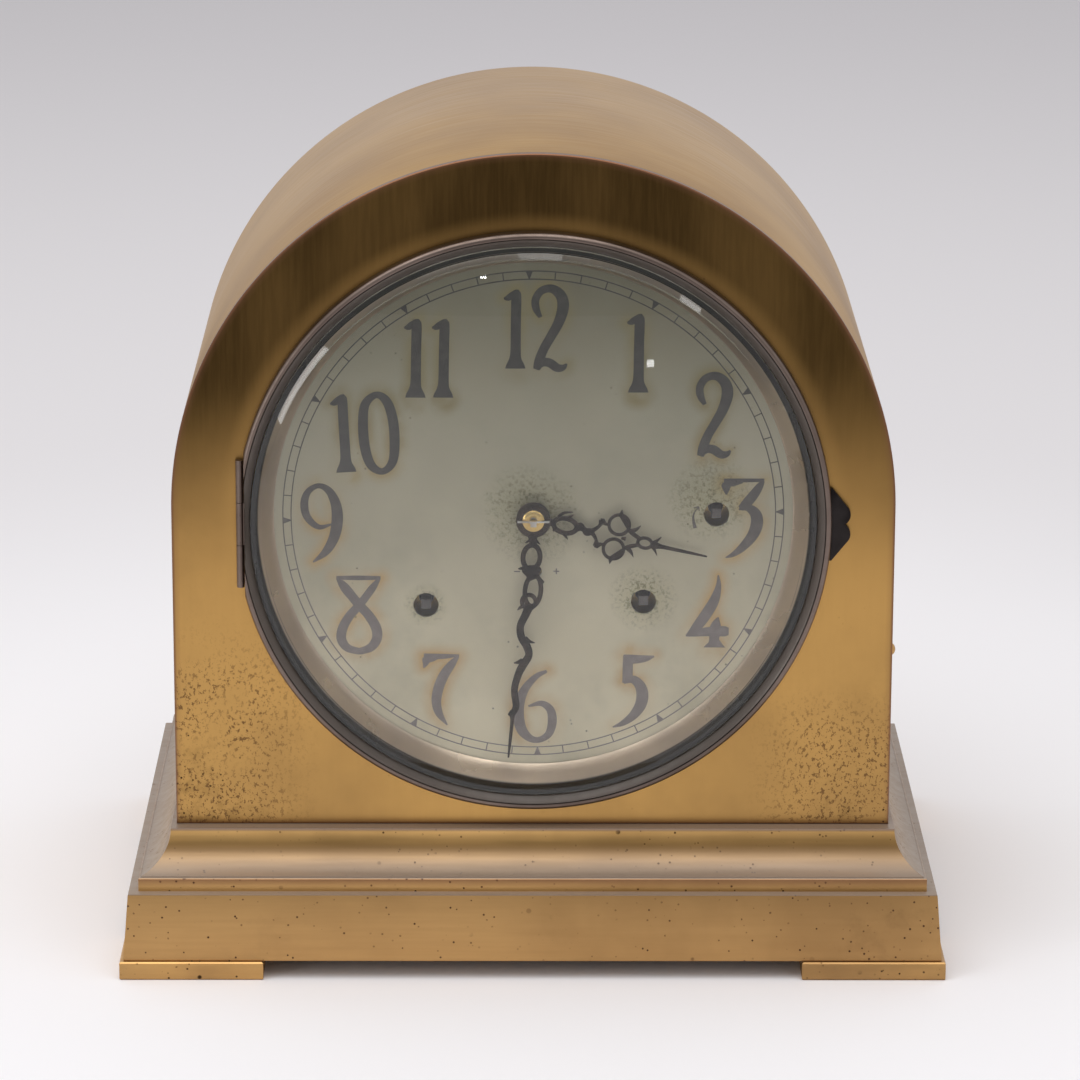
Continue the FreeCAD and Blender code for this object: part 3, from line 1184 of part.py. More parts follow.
def make_chime():
    to_drum = direction("chime_side", "chime_z", "drum_x", "drum_z")
    make_barrel("chime_barrel", "chime_great_teeth", "chime_barrel_radius",
                "chime_barrel_length", "chime_side", "chime_z", "chime_great_plane", to_drum)
    make_winding_arbor("chime_winding_arbor", "chime_side", "chime_z")

    staff = arbor("drum_x", "drum_z", "drum_pinion_teeth", "great_module", "chime_great_plane",
                  to_drum, "chime_frame_y + frame_thick - plate_back")
    start = number("plate_back + drum_end_gap")
    pins = drum(DRUM_SIDES, number("drum_radius"),
                number("chime_frame_y - drum_end_gap") - start)
    width, length = number("drum_pin_width"), number("drum_radius + drum_pin_length")
    for row in range(1, GONGS):
        along = number(f"gong_y + {row} * gong_step") - start
        for index in range(DRUM_PINS):
            pin = Part.makeBox(length, width, width, Vector(0, along - width / 2, -width / 2))
            pin.rotate(Vector(0, 0, 0), Vector(0, 1, 0),
                       90 + (index + row / GONGS) * 360 / DRUM_PINS)
            pins = pins.fuse(pin)
    pins = pins.cut(drum(THIN_SIDES, number("arbor_radius"), 3 * length + number("case_depth")))
    node("chime_drum", group(staff, feature(pins, "drum_x", "plate_back + drum_end_gap",
                                            "drum_z")))

    rear = block("drum_x - frame_margin", "hammer_side + frame_margin", "chime_frame_y",
                 "chime_frame_y + frame_thick", "hammer_height - frame_margin",
                 "drum_z + 3 * frame_margin")
    bearing = hole(THIN_SIDES, "arbor_radius", "3 * frame_thick", "drum_x",
                   "chime_frame_y - frame_thick", "drum_z")
    posts = [bar(THIN_SIDES, radius, "chime_frame_y - plate_back + frame_thick / 2", x,
                 "plate_back", z)
             for radius, x, z in (("hammer_rod_radius", "hammer_side", "hammer_height"),
                                  ("frame_post_radius", "drum_x - frame_margin / 2",
                                   "(hammer_height + drum_z) / 2 - frame_margin"),
                                  ("frame_post_radius", "hammer_side + frame_margin / 4",
                                   "drum_z + 2 * frame_margin"))]
    node("hammer_frame", fuse(cut(rear, bearing), *posts))


def make_gongs():
    rods = []
    for index in range(GONGS):
        length = f"gong_length - {index} * gong_length_step"
        rods.append(bar(THIN_SIDES, "gong_radius", length, f"gong_foot - ({length})",
                        f"gong_y + {index} * gong_step", "gong_height", ALONG_X))
    node("gong_rods", group(*rods))
    node("gong_stand", block("gong_foot", "gong_foot + gong_block_width",
                             "gong_y - gong_block_margin",
                             f"gong_y + {GONGS - 1} * gong_step + gong_block_margin",
                             "floor_top", "gong_height + gong_block_margin"))


def make_hammers():
    """Each hammer is a crank: a head over its gong rod and a tail beside the drum."""
    thick, height = number("hammer_thick"), number("hammer_arm_height")
    reach = number("hammer_reach")
    clear = number("drum_radius + drum_pin_length + hammer_tail_gap + hammer_arm_height / 2")
    across = number("drum_x - hammer_side") + clear
    rise = number("drum_z - hammer_height")
    for index in range(GONGS):
        shape = drum(BAR_SIDES, number("hammer_eye_radius"), thick)
        shape = shape.fuse(Part.makeBox(reach, thick, height, Vector(-reach, 0, -height / 2)))
        low = number("gong_height + gong_radius + hammer_head_gap - hammer_height")
        head = drum(THIN_SIDES, number("hammer_head_radius"), -low)
        head.rotate(Vector(0, 0, 0), Vector(1, 0, 0), 90)
        head.translate(Vector(-reach, thick / 2, low))
        shape = shape.fuse(head)
        if index:
            tail = Part.makeBox(math.hypot(across, rise) + height, thick, height,
                                Vector(0, 0, -height / 2))
            tail.rotate(Vector(0, 0, 0), Vector(0, 1, 0), -math.degrees(math.atan2(rise, across)))
            shape = shape.fuse(tail)
        shape = bored(shape, BAR_SIDES, number("hammer_rod_radius + running_play"))
        node(f"hammer_{index + 1}", feature(shape.removeSplitter(), "hammer_side",
                                            f"gong_y + {index} * gong_step - hammer_thick / 2",
                                            "hammer_height"))


fill_sheets()
make_base()
make_case()
make_back_door()
make_bezel()
make_dial()
make_plates()
make_time_train()
make_pendulum()
make_motion_work()
make_hands()
make_strike()
make_chime()
make_gongs()
make_hammers()

doc.recompute()
for thing in doc.Objects:
    if "Invalid" in thing.State or "Error" in thing.State:
        raise RuntimeError("failed object: " + thing.Label)
os.makedirs("parts", exist_ok=True)
for label, thing in nodes.items():
    if thing.Shape.isNull() or not thing.Shape.isValid():
        raise RuntimeError("bad shape: " + label)
    thing.Shape.exportStep(f"parts/{label}.step")
print(len(nodes), "nodes")
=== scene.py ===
# %% [markdown]
# A beehive shelf clock is an arched bronze case on a stepped base, with a silvered dial behind
# a domed glass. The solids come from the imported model, in metres. This lesson dresses them:
# it rebuilds every surface that shows with smooth, parametric shapes, and gives each one
# an aged finish.

# %% Load the frame
import math

import bmesh
import bpy
import numpy as np
from mathutils import Matrix, Vector


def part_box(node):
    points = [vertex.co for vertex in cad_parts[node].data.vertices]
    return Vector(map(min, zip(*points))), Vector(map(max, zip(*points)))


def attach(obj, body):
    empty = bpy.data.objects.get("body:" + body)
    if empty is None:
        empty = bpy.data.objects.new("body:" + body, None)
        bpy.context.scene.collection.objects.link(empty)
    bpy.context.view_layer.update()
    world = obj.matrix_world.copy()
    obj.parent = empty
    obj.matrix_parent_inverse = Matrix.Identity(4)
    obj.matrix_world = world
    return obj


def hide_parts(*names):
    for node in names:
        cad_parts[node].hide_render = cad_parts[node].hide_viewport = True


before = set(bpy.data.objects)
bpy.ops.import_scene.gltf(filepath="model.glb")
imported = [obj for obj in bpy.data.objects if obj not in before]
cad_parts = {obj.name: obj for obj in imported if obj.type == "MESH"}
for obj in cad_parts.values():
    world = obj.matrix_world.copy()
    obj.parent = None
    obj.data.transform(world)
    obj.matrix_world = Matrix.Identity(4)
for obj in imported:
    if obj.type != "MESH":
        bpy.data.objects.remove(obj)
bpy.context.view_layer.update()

MM = 0.001

# %% [markdown]
# The camera repeats the photograph: a long lens from just under two metres, looking down by
# about sixteen degrees. The numbers come from matching straight edges and circles of the real
# case, so the shapes can be compared one to one. The angles are in radians, and the shift is
# a few pixels of a 1080 pixel frame.

# %% The camera
CAMERA_PLACE = np.array([-9.6, -1822.8, 642.8]) * MM
PITCH_DOWN, TURN_RIGHT, ROLL = 0.2721, 0.0069, 0.003
FOCAL_LENGTH, SENSOR_WIDTH, SHIFT_UP = 164.8, 36.0, 11.4 / 1080
lens = bpy.data.cameras.new("photographer")
lens.lens, lens.sensor_width, lens.shift_y = FOCAL_LENGTH, SENSOR_WIDTH, SHIFT_UP
camera = bpy.data.objects.new("photographer", lens)
camera.location = CAMERA_PLACE
look = (Matrix.Rotation(-TURN_RIGHT, 3, "Z") @ Matrix.Rotation(math.pi / 2 - PITCH_DOWN, 3, "X")
        @ Matrix.Rotation(ROLL, 3, "Z"))
camera.rotation_euler = look.to_euler()
bpy.context.scene.collection.objects.link(camera)
bpy.context.scene.camera = camera
bpy.context.scene.view_settings.view_transform = "Standard"
print("camera at", np.round(CAMERA_PLACE, 3))

# %% [markdown]
# Satin metal shows what stands round it, so the light is a large soft tent: a pale sky all
# round and a wide panel above the front. Together they come to about one, so a colour
# renders close to how it is written. Metal and glass see the sky as pale as the camera does:
# the Light Path node tells those rays apart. They also see the dim room behind the camera, low
# in the front, which gives the glass its depth and the cove its dark belt.

# %% The sky
world = bpy.data.worlds.new("tent")
bpy.context.scene.world = world
world.use_nodes = True
sky = world.node_tree.nodes["Background"]
sky.inputs["Color"].default_value = (0.98, 0.98, 1.0, 1)
SKY_LIGHT, SKY_SEEN, ROOM_DIMS = 0.62, 0.88, 0.50
ROOM_AHEAD, ROOM_TOP = (-0.45, -0.90), (0.72, 0.30)


def sky_step(kind, inputs, **settings):
    """Add one node to the world's tree, fill its inputs in order and return its first output."""
    node = world.node_tree.nodes.new(kind)
    for key, value in settings.items():
        setattr(node, key, value)
    for socket, value in zip(node.inputs, inputs):
        if isinstance(value, float):
            socket.default_value = value
        else:
            world.node_tree.links.new(value, socket)
    return node.outputs[0]


def sky_math(operation, first, second):
    return sky_step("ShaderNodeMath", (first, second), operation=operation)


def sky_ease(value, start, stop):
    """0 before start, 1 after stop and a smooth step between."""
    return sky_step("ShaderNodeMapRange", (value, start, stop, 0.0, 1.0),
                    interpolation_type="SMOOTHSTEP")


rays = world.node_tree.nodes.new("ShaderNodeLightPath").outputs
towards = world.node_tree.nodes.new("ShaderNodeSeparateXYZ")
world.node_tree.links.new(world.node_tree.nodes.new("ShaderNodeTexCoord").outputs["Generated"],
                          towards.inputs[0])
seen = sky_math("MAXIMUM", rays["Is Camera Ray"],
                sky_math("MAXIMUM", rays["Is Glossy Ray"], rays["Is Transmission Ray"]))
room = sky_math("MULTIPLY", sky_ease(towards.outputs[1], *ROOM_AHEAD),
                sky_ease(towards.outputs[2], *ROOM_TOP))
room = sky_math("MULTIPLY", sky_math("MULTIPLY", room, rays["Is Glossy Ray"]), ROOM_DIMS)
pale = sky_math("ADD", sky_math("MULTIPLY", seen, SKY_SEEN - SKY_LIGHT), SKY_LIGHT)
world.node_tree.links.new(sky_math("SUBTRACT", pale, room), sky.inputs["Strength"])

print("sky strength", SKY_LIGHT, "seen as", SKY_SEEN)

# %% [markdown]
# The lamps are soft panels. The large one hangs above the front. Two strips draw the arcs on
# the bevel of the glass, and two tiny lamps its sparks. A flat facet mirrors the eye's ray
# about its normal, so each of them stands where the mirrored ray goes.

# %% The lamps
LAMP_AIM = Vector((0.0, 0.0, 0.12))


def soft_panel(name, power, wide, place, tall=None):
    """An area lamp that looks from its place towards the clock; square, or a strip."""
    lamp = bpy.data.lights.new(name, "AREA")
    lamp.shape = "RECTANGLE"
    lamp.energy, lamp.size, lamp.size_y = power, wide, tall or wide
    holder = bpy.data.objects.new(name, lamp)
    holder.location = place
    holder.rotation_euler = (Vector(place) - LAMP_AIM).to_track_quat("Z", "Y").to_euler()
    bpy.context.scene.collection.objects.link(holder)
    print("panel", name, power, "W")


soft_panel("overhead", 31.0, 2.4, (-0.3, -0.55, 2.3))
soft_panel("left_strip", 2.6, 0.26, (-1.27, -1.15, 0.42), 0.72)
soft_panel("right_strip", 0.6, 0.10, (0.93, -1.26, 0.90), 0.55)
soft_panel("upper_spark", 0.008, 0.013, (-0.107, -1.89, 0.280), 0.006)
soft_panel("lower_spark", 0.005, 0.014, (0.237, -1.57, 0.105))

# %% [markdown]
# A finish is one Principled shader with a few texture nodes before it. Every pattern reads
# Object coordinates, which are metres here, the piece's own UV map or values that its mesh
# carries, so it stays on the surface when a door or a hand turns. The small class below only
# saves typing.

# %% A helper for finishes
class Finish:
    """One finish: a Principled shader and the steps that feed its sockets."""

    def __init__(self, name, colour, metallic=0.0, roughness=0.5, **constants):
        self.material = bpy.data.materials.new(name)
        self.material.use_nodes = True
        self.tree = self.material.node_tree
        self.shader = self.tree.nodes["Principled BSDF"]
        self.set("Base Color", (*colour, 1.0))
        self.set("Metallic", metallic)
        self.set("Roughness", roughness)
        for socket, amount in constants.items():
            self.set(socket.replace("_", " "), amount)
        points = self.tree.nodes.new("ShaderNodeTexCoord")
        self.place, self.flow = points.outputs["Object"], points.outputs["UV"]

    def join(self, socket, value):
        """Link an output, or write a plain number or colour."""
        if isinstance(value, bpy.types.NodeSocket):
            self.tree.links.new(value, socket)
        else:
            socket.default_value = value

    def set(self, socket, value):
        self.join(self.shader.inputs[socket], value)

    def step(self, kind, inputs, output=0, **settings):
        """Add one node, fill its inputs and return one of its outputs."""
        node = self.tree.nodes.new(kind)
        for key, value in settings.items():
            setattr(node, key, value)
        for key, value in inputs.items():
            self.join(node.inputs[key], value)
        return node.outputs[output]

    def noise(self, scale, detail=4.0, stretch=(1, 1, 1), along=None, rough=0.55):
        """Cloudy noise; scale is the number of clouds in a metre."""
        where = self.step("ShaderNodeMapping", {"Vector": along or self.place, "Scale": stretch})
        return self.step("ShaderNodeTexNoise", {"Vector": where, "Scale": scale,
                                                "Detail": detail, "Roughness": rough})

    def spots(self, scale, size):
        """Round spots on scattered points: 1 inside, 0 outside."""
        far = self.step("ShaderNodeTexVoronoi", {"Vector": self.place, "Scale": scale,
                                                 "Randomness": 1.0})
        return self.fade(far, size, size * 0.6)

    def fade(self, value, low, high, start=0.0, stop=1.0):
        """Smooth step from start to stop while the value goes from low to high."""
        return self.step("ShaderNodeMapRange", {"Value": value, "From Min": low, "From Max": high,
                                                "To Min": start, "To Max": stop},
                         interpolation_type="SMOOTHSTEP")

    def maths(self, operation, first, second):
        """One Math node; a sum is kept between 0 and 1."""
        return self.step("ShaderNodeMath", {0: first, 1: second}, operation=operation,
                         use_clamp=operation == "ADD")

    def both(self, *values):
        """The product of all the values."""
        product = values[0]
        for value in values[1:]:
            product = self.maths("MULTIPLY", product, value)
        return product

    def mix(self, share, first, second):
        """Blend two colours."""
        first, second = (colour if isinstance(colour, bpy.types.NodeSocket) else (*colour, 1.0)
                         for colour in (first, second))
        return self.step("ShaderNodeMix", {0: share, 6: first, 7: second}, 2, data_type="RGBA")

    def axes(self):
        """The point's x, y and z in metres."""
        split = self.tree.nodes.new("ShaderNodeSeparateXYZ")
        self.join(split.inputs[0], self.place)
        return split.outputs

    def mark(self, name):
        """A value that the mesh carries at its vertices."""
        return self.step("ShaderNodeAttribute", {}, 2, attribute_name=name)

    def bump(self, height, strength, depth):
        self.set("Normal", self.step("ShaderNodeBump", {"Height": height, "Strength": strength,
                                                        "Distance": depth}))


print("finish helper ready")

# %% [markdown]
# The case is satin bronze, a century old. Its lacquer has gone: broad clouds of brown lie
# over the gold, fine brushing runs one way, small dark pits gather low down near the
# corners, and the sharp edges have turned a coppery red. A painted reflection darkens the
# upper front. Each of these is a share from 0 to 1 that blends the colour so far with one
# more paint.

# %% Shares of the aged bronze
def faded(finish, fade, spared):
    """Painted reflection: share growing with height, moved a little by noise, eased near a spared
    point.
    """
    low, high = fade
    wander = finish.both(finish.noise(6.0, 2.0), 0.05)
    shade = finish.fade(finish.maths("ADD", finish.axes()[2], wander), low, high)
    if spared:
        point, end, full = spared
        far = finish.step("ShaderNodeVectorMath", {0: finish.place, 1: point}, 1,
                          operation="DISTANCE")
        shade = finish.both(shade, finish.fade(far, full, end, 0.72, 1.0))
    clouds = finish.fade(finish.noise(22.0, 4.0, (1.0, 1.0, 0.35)), 0.35, 0.7, 1.0, 0.90)
    return finish.both(shade, clouds)


def low_ends(finish, corner):
    """Share that is 1 low down at the two ends, and 0 in the middle and above the corner."""
    x, _, z = finish.axes()
    side = finish.fade(finish.maths("ABSOLUTE", x, 0.0), 0.06, 0.15)
    return finish.both(side, finish.fade(z, corner, 0.03))


def pitted(finish, ends, pits):
    """Small round pits and a few larger sores, where a slow noise lets them gather."""
    gather = finish.maths("ADD", finish.both(ends, 0.55), pits * 0.42)
    where = finish.fade(finish.maths("SUBTRACT", gather, finish.noise(34.0, 3.0)), -0.22, 0.12)
    pit = finish.both(finish.spots(380.0, 0.19),
                      finish.fade(finish.noise(150.0, 2.0), 0.45, 0.56), where)
    sore = finish.both(finish.spots(95.0, 0.11),
                       finish.fade(finish.noise(60.0, 2.0), 0.50, 0.60), where)
    return finish.maths("MAXIMUM", pit, sore)


def speckled(finish):
    """Fine crumbs of tarnish in the two lower corners, which climb higher at the left."""
    x, _, z = finish.axes()
    lean = finish.maths("ADD", finish.fade(z, 0.06, 0.14), finish.both(x, 1.6))
    edge = finish.fade(finish.maths("ABSOLUTE", x, 0.0), 0.075, 0.108)
    crowd = finish.both(edge, finish.fade(lean, 0.85, 0.35),
                        finish.fade(finish.noise(32.0, 3.0), 0.32, 0.48))
    crumbs = finish.fade(finish.noise(620.0, 3.0, (1.0, 1.0, 0.8), rough=0.75), 0.53, 0.60)
    return finish.both(crowd, crumbs)


print("bronze shares ready")

# %% [markdown]
# A piece's mesh can carry three marks: worn edges, a belt of painted shade, and a mark that
# dulls the metal: dust on the ledges, dust and painted shade in the cove's foot, and painted
# shade on the bezel's inner slope.

# %% Aged bronze
GOLD, BROWN = (0.575, 0.335, 0.108), (0.43, 0.25, 0.085)
# Olive serves real stains low at the ends and the painted reflection on the upper front.
OLIVE, COPPER, PIT = (0.056, 0.032, 0.010), (0.20, 0.095, 0.055), (0.065, 0.033, 0.016)
# A pale colour for dust and painted shade, then the colour of the belt of painted shade.
PALE_DUST_AND_SHADE, BELT_SHADE_COLOUR, SPECKLE = (0.27, 0.21, 0.165), (0.19, 0.10, 0.03), (0.17, 0.088, 0.036)
DULLED_METALLIC, RELIEF = 0.15, 0.00012


def aged_bronze(name, bright=GOLD, dull=BROWN, fade=None, spared=None, stretch=(1, 1, 1),
                flow=False, pits=0.5, rough=0.36, corner=0.13, grain=300.0, streaks=0.16,
                stains=0.2, speckles=0.0, dust_and_shade=PALE_DUST_AND_SHADE):
    """Bronze whose clouds, brushing and pits follow the arguments. Fade is the height where a
    painted reflection of the dim room begins and where it is full. Spared is a disc that it
    partly leaves out: its middle, and the distances where that ends and where it is full."""
    finish = Finish(name, bright, 1.0, rough)
    colour = finish.mix(finish.fade(finish.noise(11.0, 5.0), 0.38, 0.70), bright, dull)
    # Painted reflection: the colour darkens to olive with height, as if mirroring the dim room.
    if fade:
        colour = finish.mix(faded(finish, fade, spared), colour, OLIVE)
    brushing = finish.noise(grain, 3.0, stretch, finish.flow if flow else None)
    ends = low_ends(finish, corner)
    stain = finish.fade(finish.noise(26.0, 6.0, rough=0.7), 0.53, 0.66)
    holes = pitted(finish, ends, pits)
    for share, paint in ((finish.fade(brushing, 0.30, 0.75, 0.0, streaks), dull),
                         (finish.both(ends, stain, stains), OLIVE),
                         (finish.both(speckled(finish), speckles), SPECKLE),
                         (holes, PIT), (finish.both(finish.mark("rim"), 0.85), COPPER),
                         (finish.mark("shade_belt"), BELT_SHADE_COLOUR), (finish.mark("dust_and_shade"), dust_and_shade)):
        colour = finish.mix(share, colour, paint)
    finish.set("Base Color", colour)
    # Where the dust and shade mark is full, the metal turns dull.
    finish.set("Metallic", finish.fade(finish.mark("dust_and_shade"), 0.0, 1.0, 1.0, DULLED_METALLIC))
    satin = finish.fade(brushing, 0.2, 0.8, rough - streaks / 3, rough + streaks / 2)
    finish.set("Roughness", finish.maths("ADD", satin, finish.both(holes, 0.3)))
    finish.bump(finish.maths("SUBTRACT", finish.both(brushing, streaks * 1.5), holes),
                0.35, RELIEF)
    return finish.material


print("aged bronze ready")

# %% [markdown]
# Each part of the case has aged in its own way: the front is speckled below, and a painted
# reflection darkens it above. The hood is brushed round its bend, the base is pitted and the
# bezel has gone nearly black.

# %% The bronze finishes
DIAL_MIDDLE = (0, -0.0838, 0.1684)
# The fade and the spared disc paint a reflection that darkens the upper front, less by the bezel.
front_bronze = aged_bronze("front_bronze", fade=(0.160, 0.253),
                           spared=(DIAL_MIDDLE, 0.1165, 0.1085), stretch=(1.5, 1, 0.10),
                           grain=520.0, streaks=0.05, stains=0.55, speckles=0.9)
hood_bronze = aged_bronze("hood_bronze", bright=(0.76, 0.50, 0.175), dull=(0.58, 0.375, 0.135),
                          stretch=(0.05, 1.8, 1), flow=True, pits=0.05, rough=0.40,
                          grain=380.0, streaks=0.14)
base_bronze = aged_bronze("base_bronze", bright=(0.72, 0.44, 0.165), dull=(0.50, 0.30, 0.11),
                          stretch=(0.08, 1, 1.8), pits=1.2, corner=0.05)
foot_bronze = aged_bronze("foot_bronze", bright=(0.62, 0.37, 0.14), dull=(0.34, 0.20, 0.085),
                          stretch=(0.1, 1, 1.6), pits=1.25, rough=0.42, corner=0.02)
rear_bronze = aged_bronze("rear_bronze", stretch=(0.1, 1, 1.6), pits=0.2, corner=0.05)
# Its dust and shade colour is near-black: painted shade on the inner slope and the groove.
bezel_bronze = aged_bronze("bezel_bronze", bright=(0.215, 0.165, 0.14),
                           dull=(0.11, 0.082, 0.068), pits=0.1, rough=0.33, corner=-1.0,
                           dust_and_shade=(0.05, 0.040, 0.031))
print("bronze finishes", [m.name for m in (front_bronze, hood_bronze, base_bronze)])

# %% [markdown]
# The other metals are simpler. The thumb tab and the hands are blackened, the washers and
# the movement are lacquered brass, the pins and squares are bright steel with a little rust,
# and the block that holds the chime rods is raw cast iron. The winding squares are the
# exception: their steel is darkened to paint the shade inside their key holes.

# %% Other metals, wood and glass
def plain_metal(name, bright, dull, rough, scale=60.0, grain=0.2):
    """Metal with soft clouds of tarnish and a fine grain."""
    finish = Finish(name, bright, 1.0, rough)
    cloud = finish.noise(scale, 5.0)
    finish.set("Base Color", finish.mix(finish.fade(cloud, 0.35, 0.7), bright, dull))
    finish.set("Roughness", finish.fade(cloud, 0.25, 0.75, rough - 0.06, rough + 0.12))
    finish.bump(finish.noise(scale * 14, 2.0), grain, 0.0001)
    return finish.material


black_bronze = plain_metal("black_bronze", (0.036, 0.031, 0.030), (0.016, 0.013, 0.013), 0.46)
hand_metal = plain_metal("hand_metal", (0.060, 0.043, 0.033), (0.026, 0.018, 0.014), 0.50, 240.0)
brass = plain_metal("lacquered_brass", (0.70, 0.50, 0.20), (0.50, 0.33, 0.12), 0.28)
steel = plain_metal("bright_steel", (0.55, 0.54, 0.52), (0.33, 0.27, 0.22), 0.30, 110.0)
# Painted shade: dark steel for the winding squares, which sit deep in their key holes.
key_hole_shade_steel = plain_metal("key_hole_shade_steel", (0.11, 0.10, 0.095), (0.05, 0.043, 0.04), 0.38, 200.0)
iron = plain_metal("cast_iron", (0.10, 0.10, 0.105), (0.055, 0.05, 0.05), 0.62, 90.0, 0.8)

ring_silver = Finish("ring_silver", (0.50, 0.40, 0.31), 1.0, 0.34)
tarnish = ring_silver.noise(14.0, 5.0)
clouded = ring_silver.mix(ring_silver.fade(tarnish, 0.35, 0.72),
                          (0.70, 0.565, 0.435), (0.44, 0.35, 0.27))
# The black mark paints the shadow under the bezel's lip in near-black.
ring_silver.set("Base Color", ring_silver.mix(ring_silver.mark("black"), clouded,
                                              (0.012, 0.010, 0.007)))
ring_silver.set("Roughness", ring_silver.fade(tarnish, 0.2, 0.8, 0.22, 0.42))

oak = Finish("dark_wood", (0.12, 0.06, 0.03), 0.0, 0.6)
grain = oak.noise(30.0, 6.0, (0.6, 6.0, 6.0))
oak.set("Base Color", oak.mix(oak.fade(grain, 0.35, 0.65), (0.17, 0.09, 0.045),
                              (0.07, 0.035, 0.02)))
oak.bump(grain, 0.3, 0.0003)

glass = Finish("dome_glass", (0.97, 0.98, 0.97), 0.0, 0.0, IOR=1.45, Transmission_Weight=1.0)
print("plain finishes ready")

# %% [markdown]
# Each new piece is a grid of points worked out by a formula. These helpers turn the grid into
# quads, close it where it should be closed, and make sure that its faces look outwards:
# the signed volume of a closed shell is negative when it is inside out.

# %% Helpers for surfaces
def quads(rows, columns, wrap_rows, wrap_columns):
    """Corner numbers of the cells of a grid of points, as an array of fours."""
    i = np.arange(rows if wrap_rows else rows - 1)[:, None]
    j = np.arange(columns if wrap_columns else columns - 1)[None, :]
    i2, j2 = (i + 1) % rows, (j + 1) % columns
    return np.stack([i * columns + j, i2 * columns + j, i2 * columns + j2, i * columns + j2],
                    axis=-1).reshape(-1, 4)


def outward(points, faces):
    """Turn the faces over if the shell's signed volume, a sum of tetrahedra, is negative."""
    a, b, c, d = (points[faces[:, k]] for k in range(4))
    volume = np.einsum("ij,ij->", a, np.cross(b, c)) + np.einsum("ij,ij->", a, np.cross(c, d))
    return faces if volume > 0 else faces[:, ::-1]


def shell(grid, wrap_rows=False, wrap_columns=True):
    """Points and outward faces of one grid, in millimetres."""
    points = grid.reshape(-1, 3)
    return points, outward(points, quads(grid.shape[0], grid.shape[1], wrap_rows, wrap_columns))


def capped(grid):
    """Close both ends of a tube: each gets one more ring, shrunk to the middle of the end."""
    first, last = (grid[[k]].mean(axis=1, keepdims=True) + 0 * grid[[k]] for k in (0, -1))
    return np.concatenate([first, grid, last])


def together(shells):
    """Several shells as one: each one's corner numbers go on from the last."""
    starts = np.cumsum([0] + [len(points) for points, _ in shells[:-1]])
    return (np.vstack([points for points, _ in shells]),
            np.vstack([faces + start for (_, faces), start in zip(shells, starts)]))


print("surface helpers ready")

# %% [markdown]
# A piece is a mesh with its finish. It rides on the body that moves it and hides the solids
# that it stands for. Its mesh can carry marks, one value for each point, which the finish
# reads.

# %% From points to a piece
MERGE = 0.000001


def piece(name, shape, body, finish, stands_for=(), marks=None, flow=None, sharp=0.7):
    """Make an object of a shape in millimetres and let it ride on a body."""
    points, faces = shape
    mesh = bpy.data.meshes.new(name)
    mesh.from_pydata((points * MM).tolist(), [], faces.tolist())
    for mark, amounts in (marks or {}).items():
        mesh.attributes.new(mark, "FLOAT", "POINT").data.foreach_set("value", amounts)
    if flow is not None:
        mesh.uv_layers.new(name="flow").data.foreach_set("uv", (flow * MM)[faces.ravel()].ravel())
    work = bmesh.new()
    work.from_mesh(mesh)
    bmesh.ops.remove_doubles(work, verts=work.verts, dist=MERGE)
    bmesh.ops.dissolve_degenerate(work, edges=work.edges, dist=MERGE)
    work.to_mesh(mesh)
    work.free()
    mesh.shade_smooth()
    mesh.set_sharp_from_angle(angle=sharp)
    mesh.materials.append(finish)
    thing = bpy.data.objects.new(name, mesh)
    bpy.context.scene.collection.objects.link(thing)
    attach(thing, body)
    if stands_for:
        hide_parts(*stands_for)
    print(name, len(mesh.polygons), "faces on", body)
    return thing


def corners(node):
    """Lowest and highest corner of a CAD node in millimetres."""
    low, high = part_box(node)
    return np.array(low) / MM, np.array(high) / MM


bezel_low, bezel_high = corners("bezel_ring")
DIAL_HEIGHT = (bezel_low[2] + bezel_high[2]) / 2
BEZEL_RADIUS = bezel_high[0]
print("dial centre at", round(DIAL_HEIGHT, 2), "bezel radius", round(BEZEL_RADIUS, 2))

# %% [markdown]
# A turned piece is a profile carried round an axis. The profile is a list of steps, each
# a radius and a place along the axis, and rounding each corner a little catches the light.

# %% Turned shapes and rounded profiles
def rounded(profile, radius, arc=3):
    """Cut each corner of a closed profile by a quadratic curve with the corner as its handle,
    which gives each corner as many steps as arc says."""
    p = np.asarray(profile, float)
    back, ahead = np.roll(p, 1, 0) - p, np.roll(p, -1, 0) - p
    reach = [np.minimum(radius, np.linalg.norm(v, axis=1) / 2.2)[:, None]
             / np.maximum(np.linalg.norm(v, axis=1), 1e-9)[:, None] for v in (back, ahead)]
    start, end = (p + back * reach[0])[:, None], (p + ahead * reach[1])[:, None]
    t = np.linspace(0, 1, arc)[None, :, None]
    curve = (1 - t) ** 2 * start + 2 * t * (1 - t) * p[:, None] + t ** 2 * end
    return curve.reshape(-1, p.shape[1])


def turned(profile, height=0.0, steps=240):
    """Points (r cos t, along, height + r sin t) for every step (r, along) and angle t."""
    t = np.linspace(0, 2 * math.pi, steps, endpoint=False)[:, None]
    r, along = np.asarray(profile)[:, 0][None], np.asarray(profile)[:, 1][None]
    return np.stack([r * np.cos(t), along + 0 * t, height + r * np.sin(t)], axis=-1)


print("turning helpers ready")

# %% [markdown]
# The base is a set of mouldings mitred round a rectangle: the block, whose sides lean in a
# little, and on it a square fillet with a hollow cove. One function carries a profile round
# the rectangle, with a reach of its own at the back, because the cove's back runs straight up.

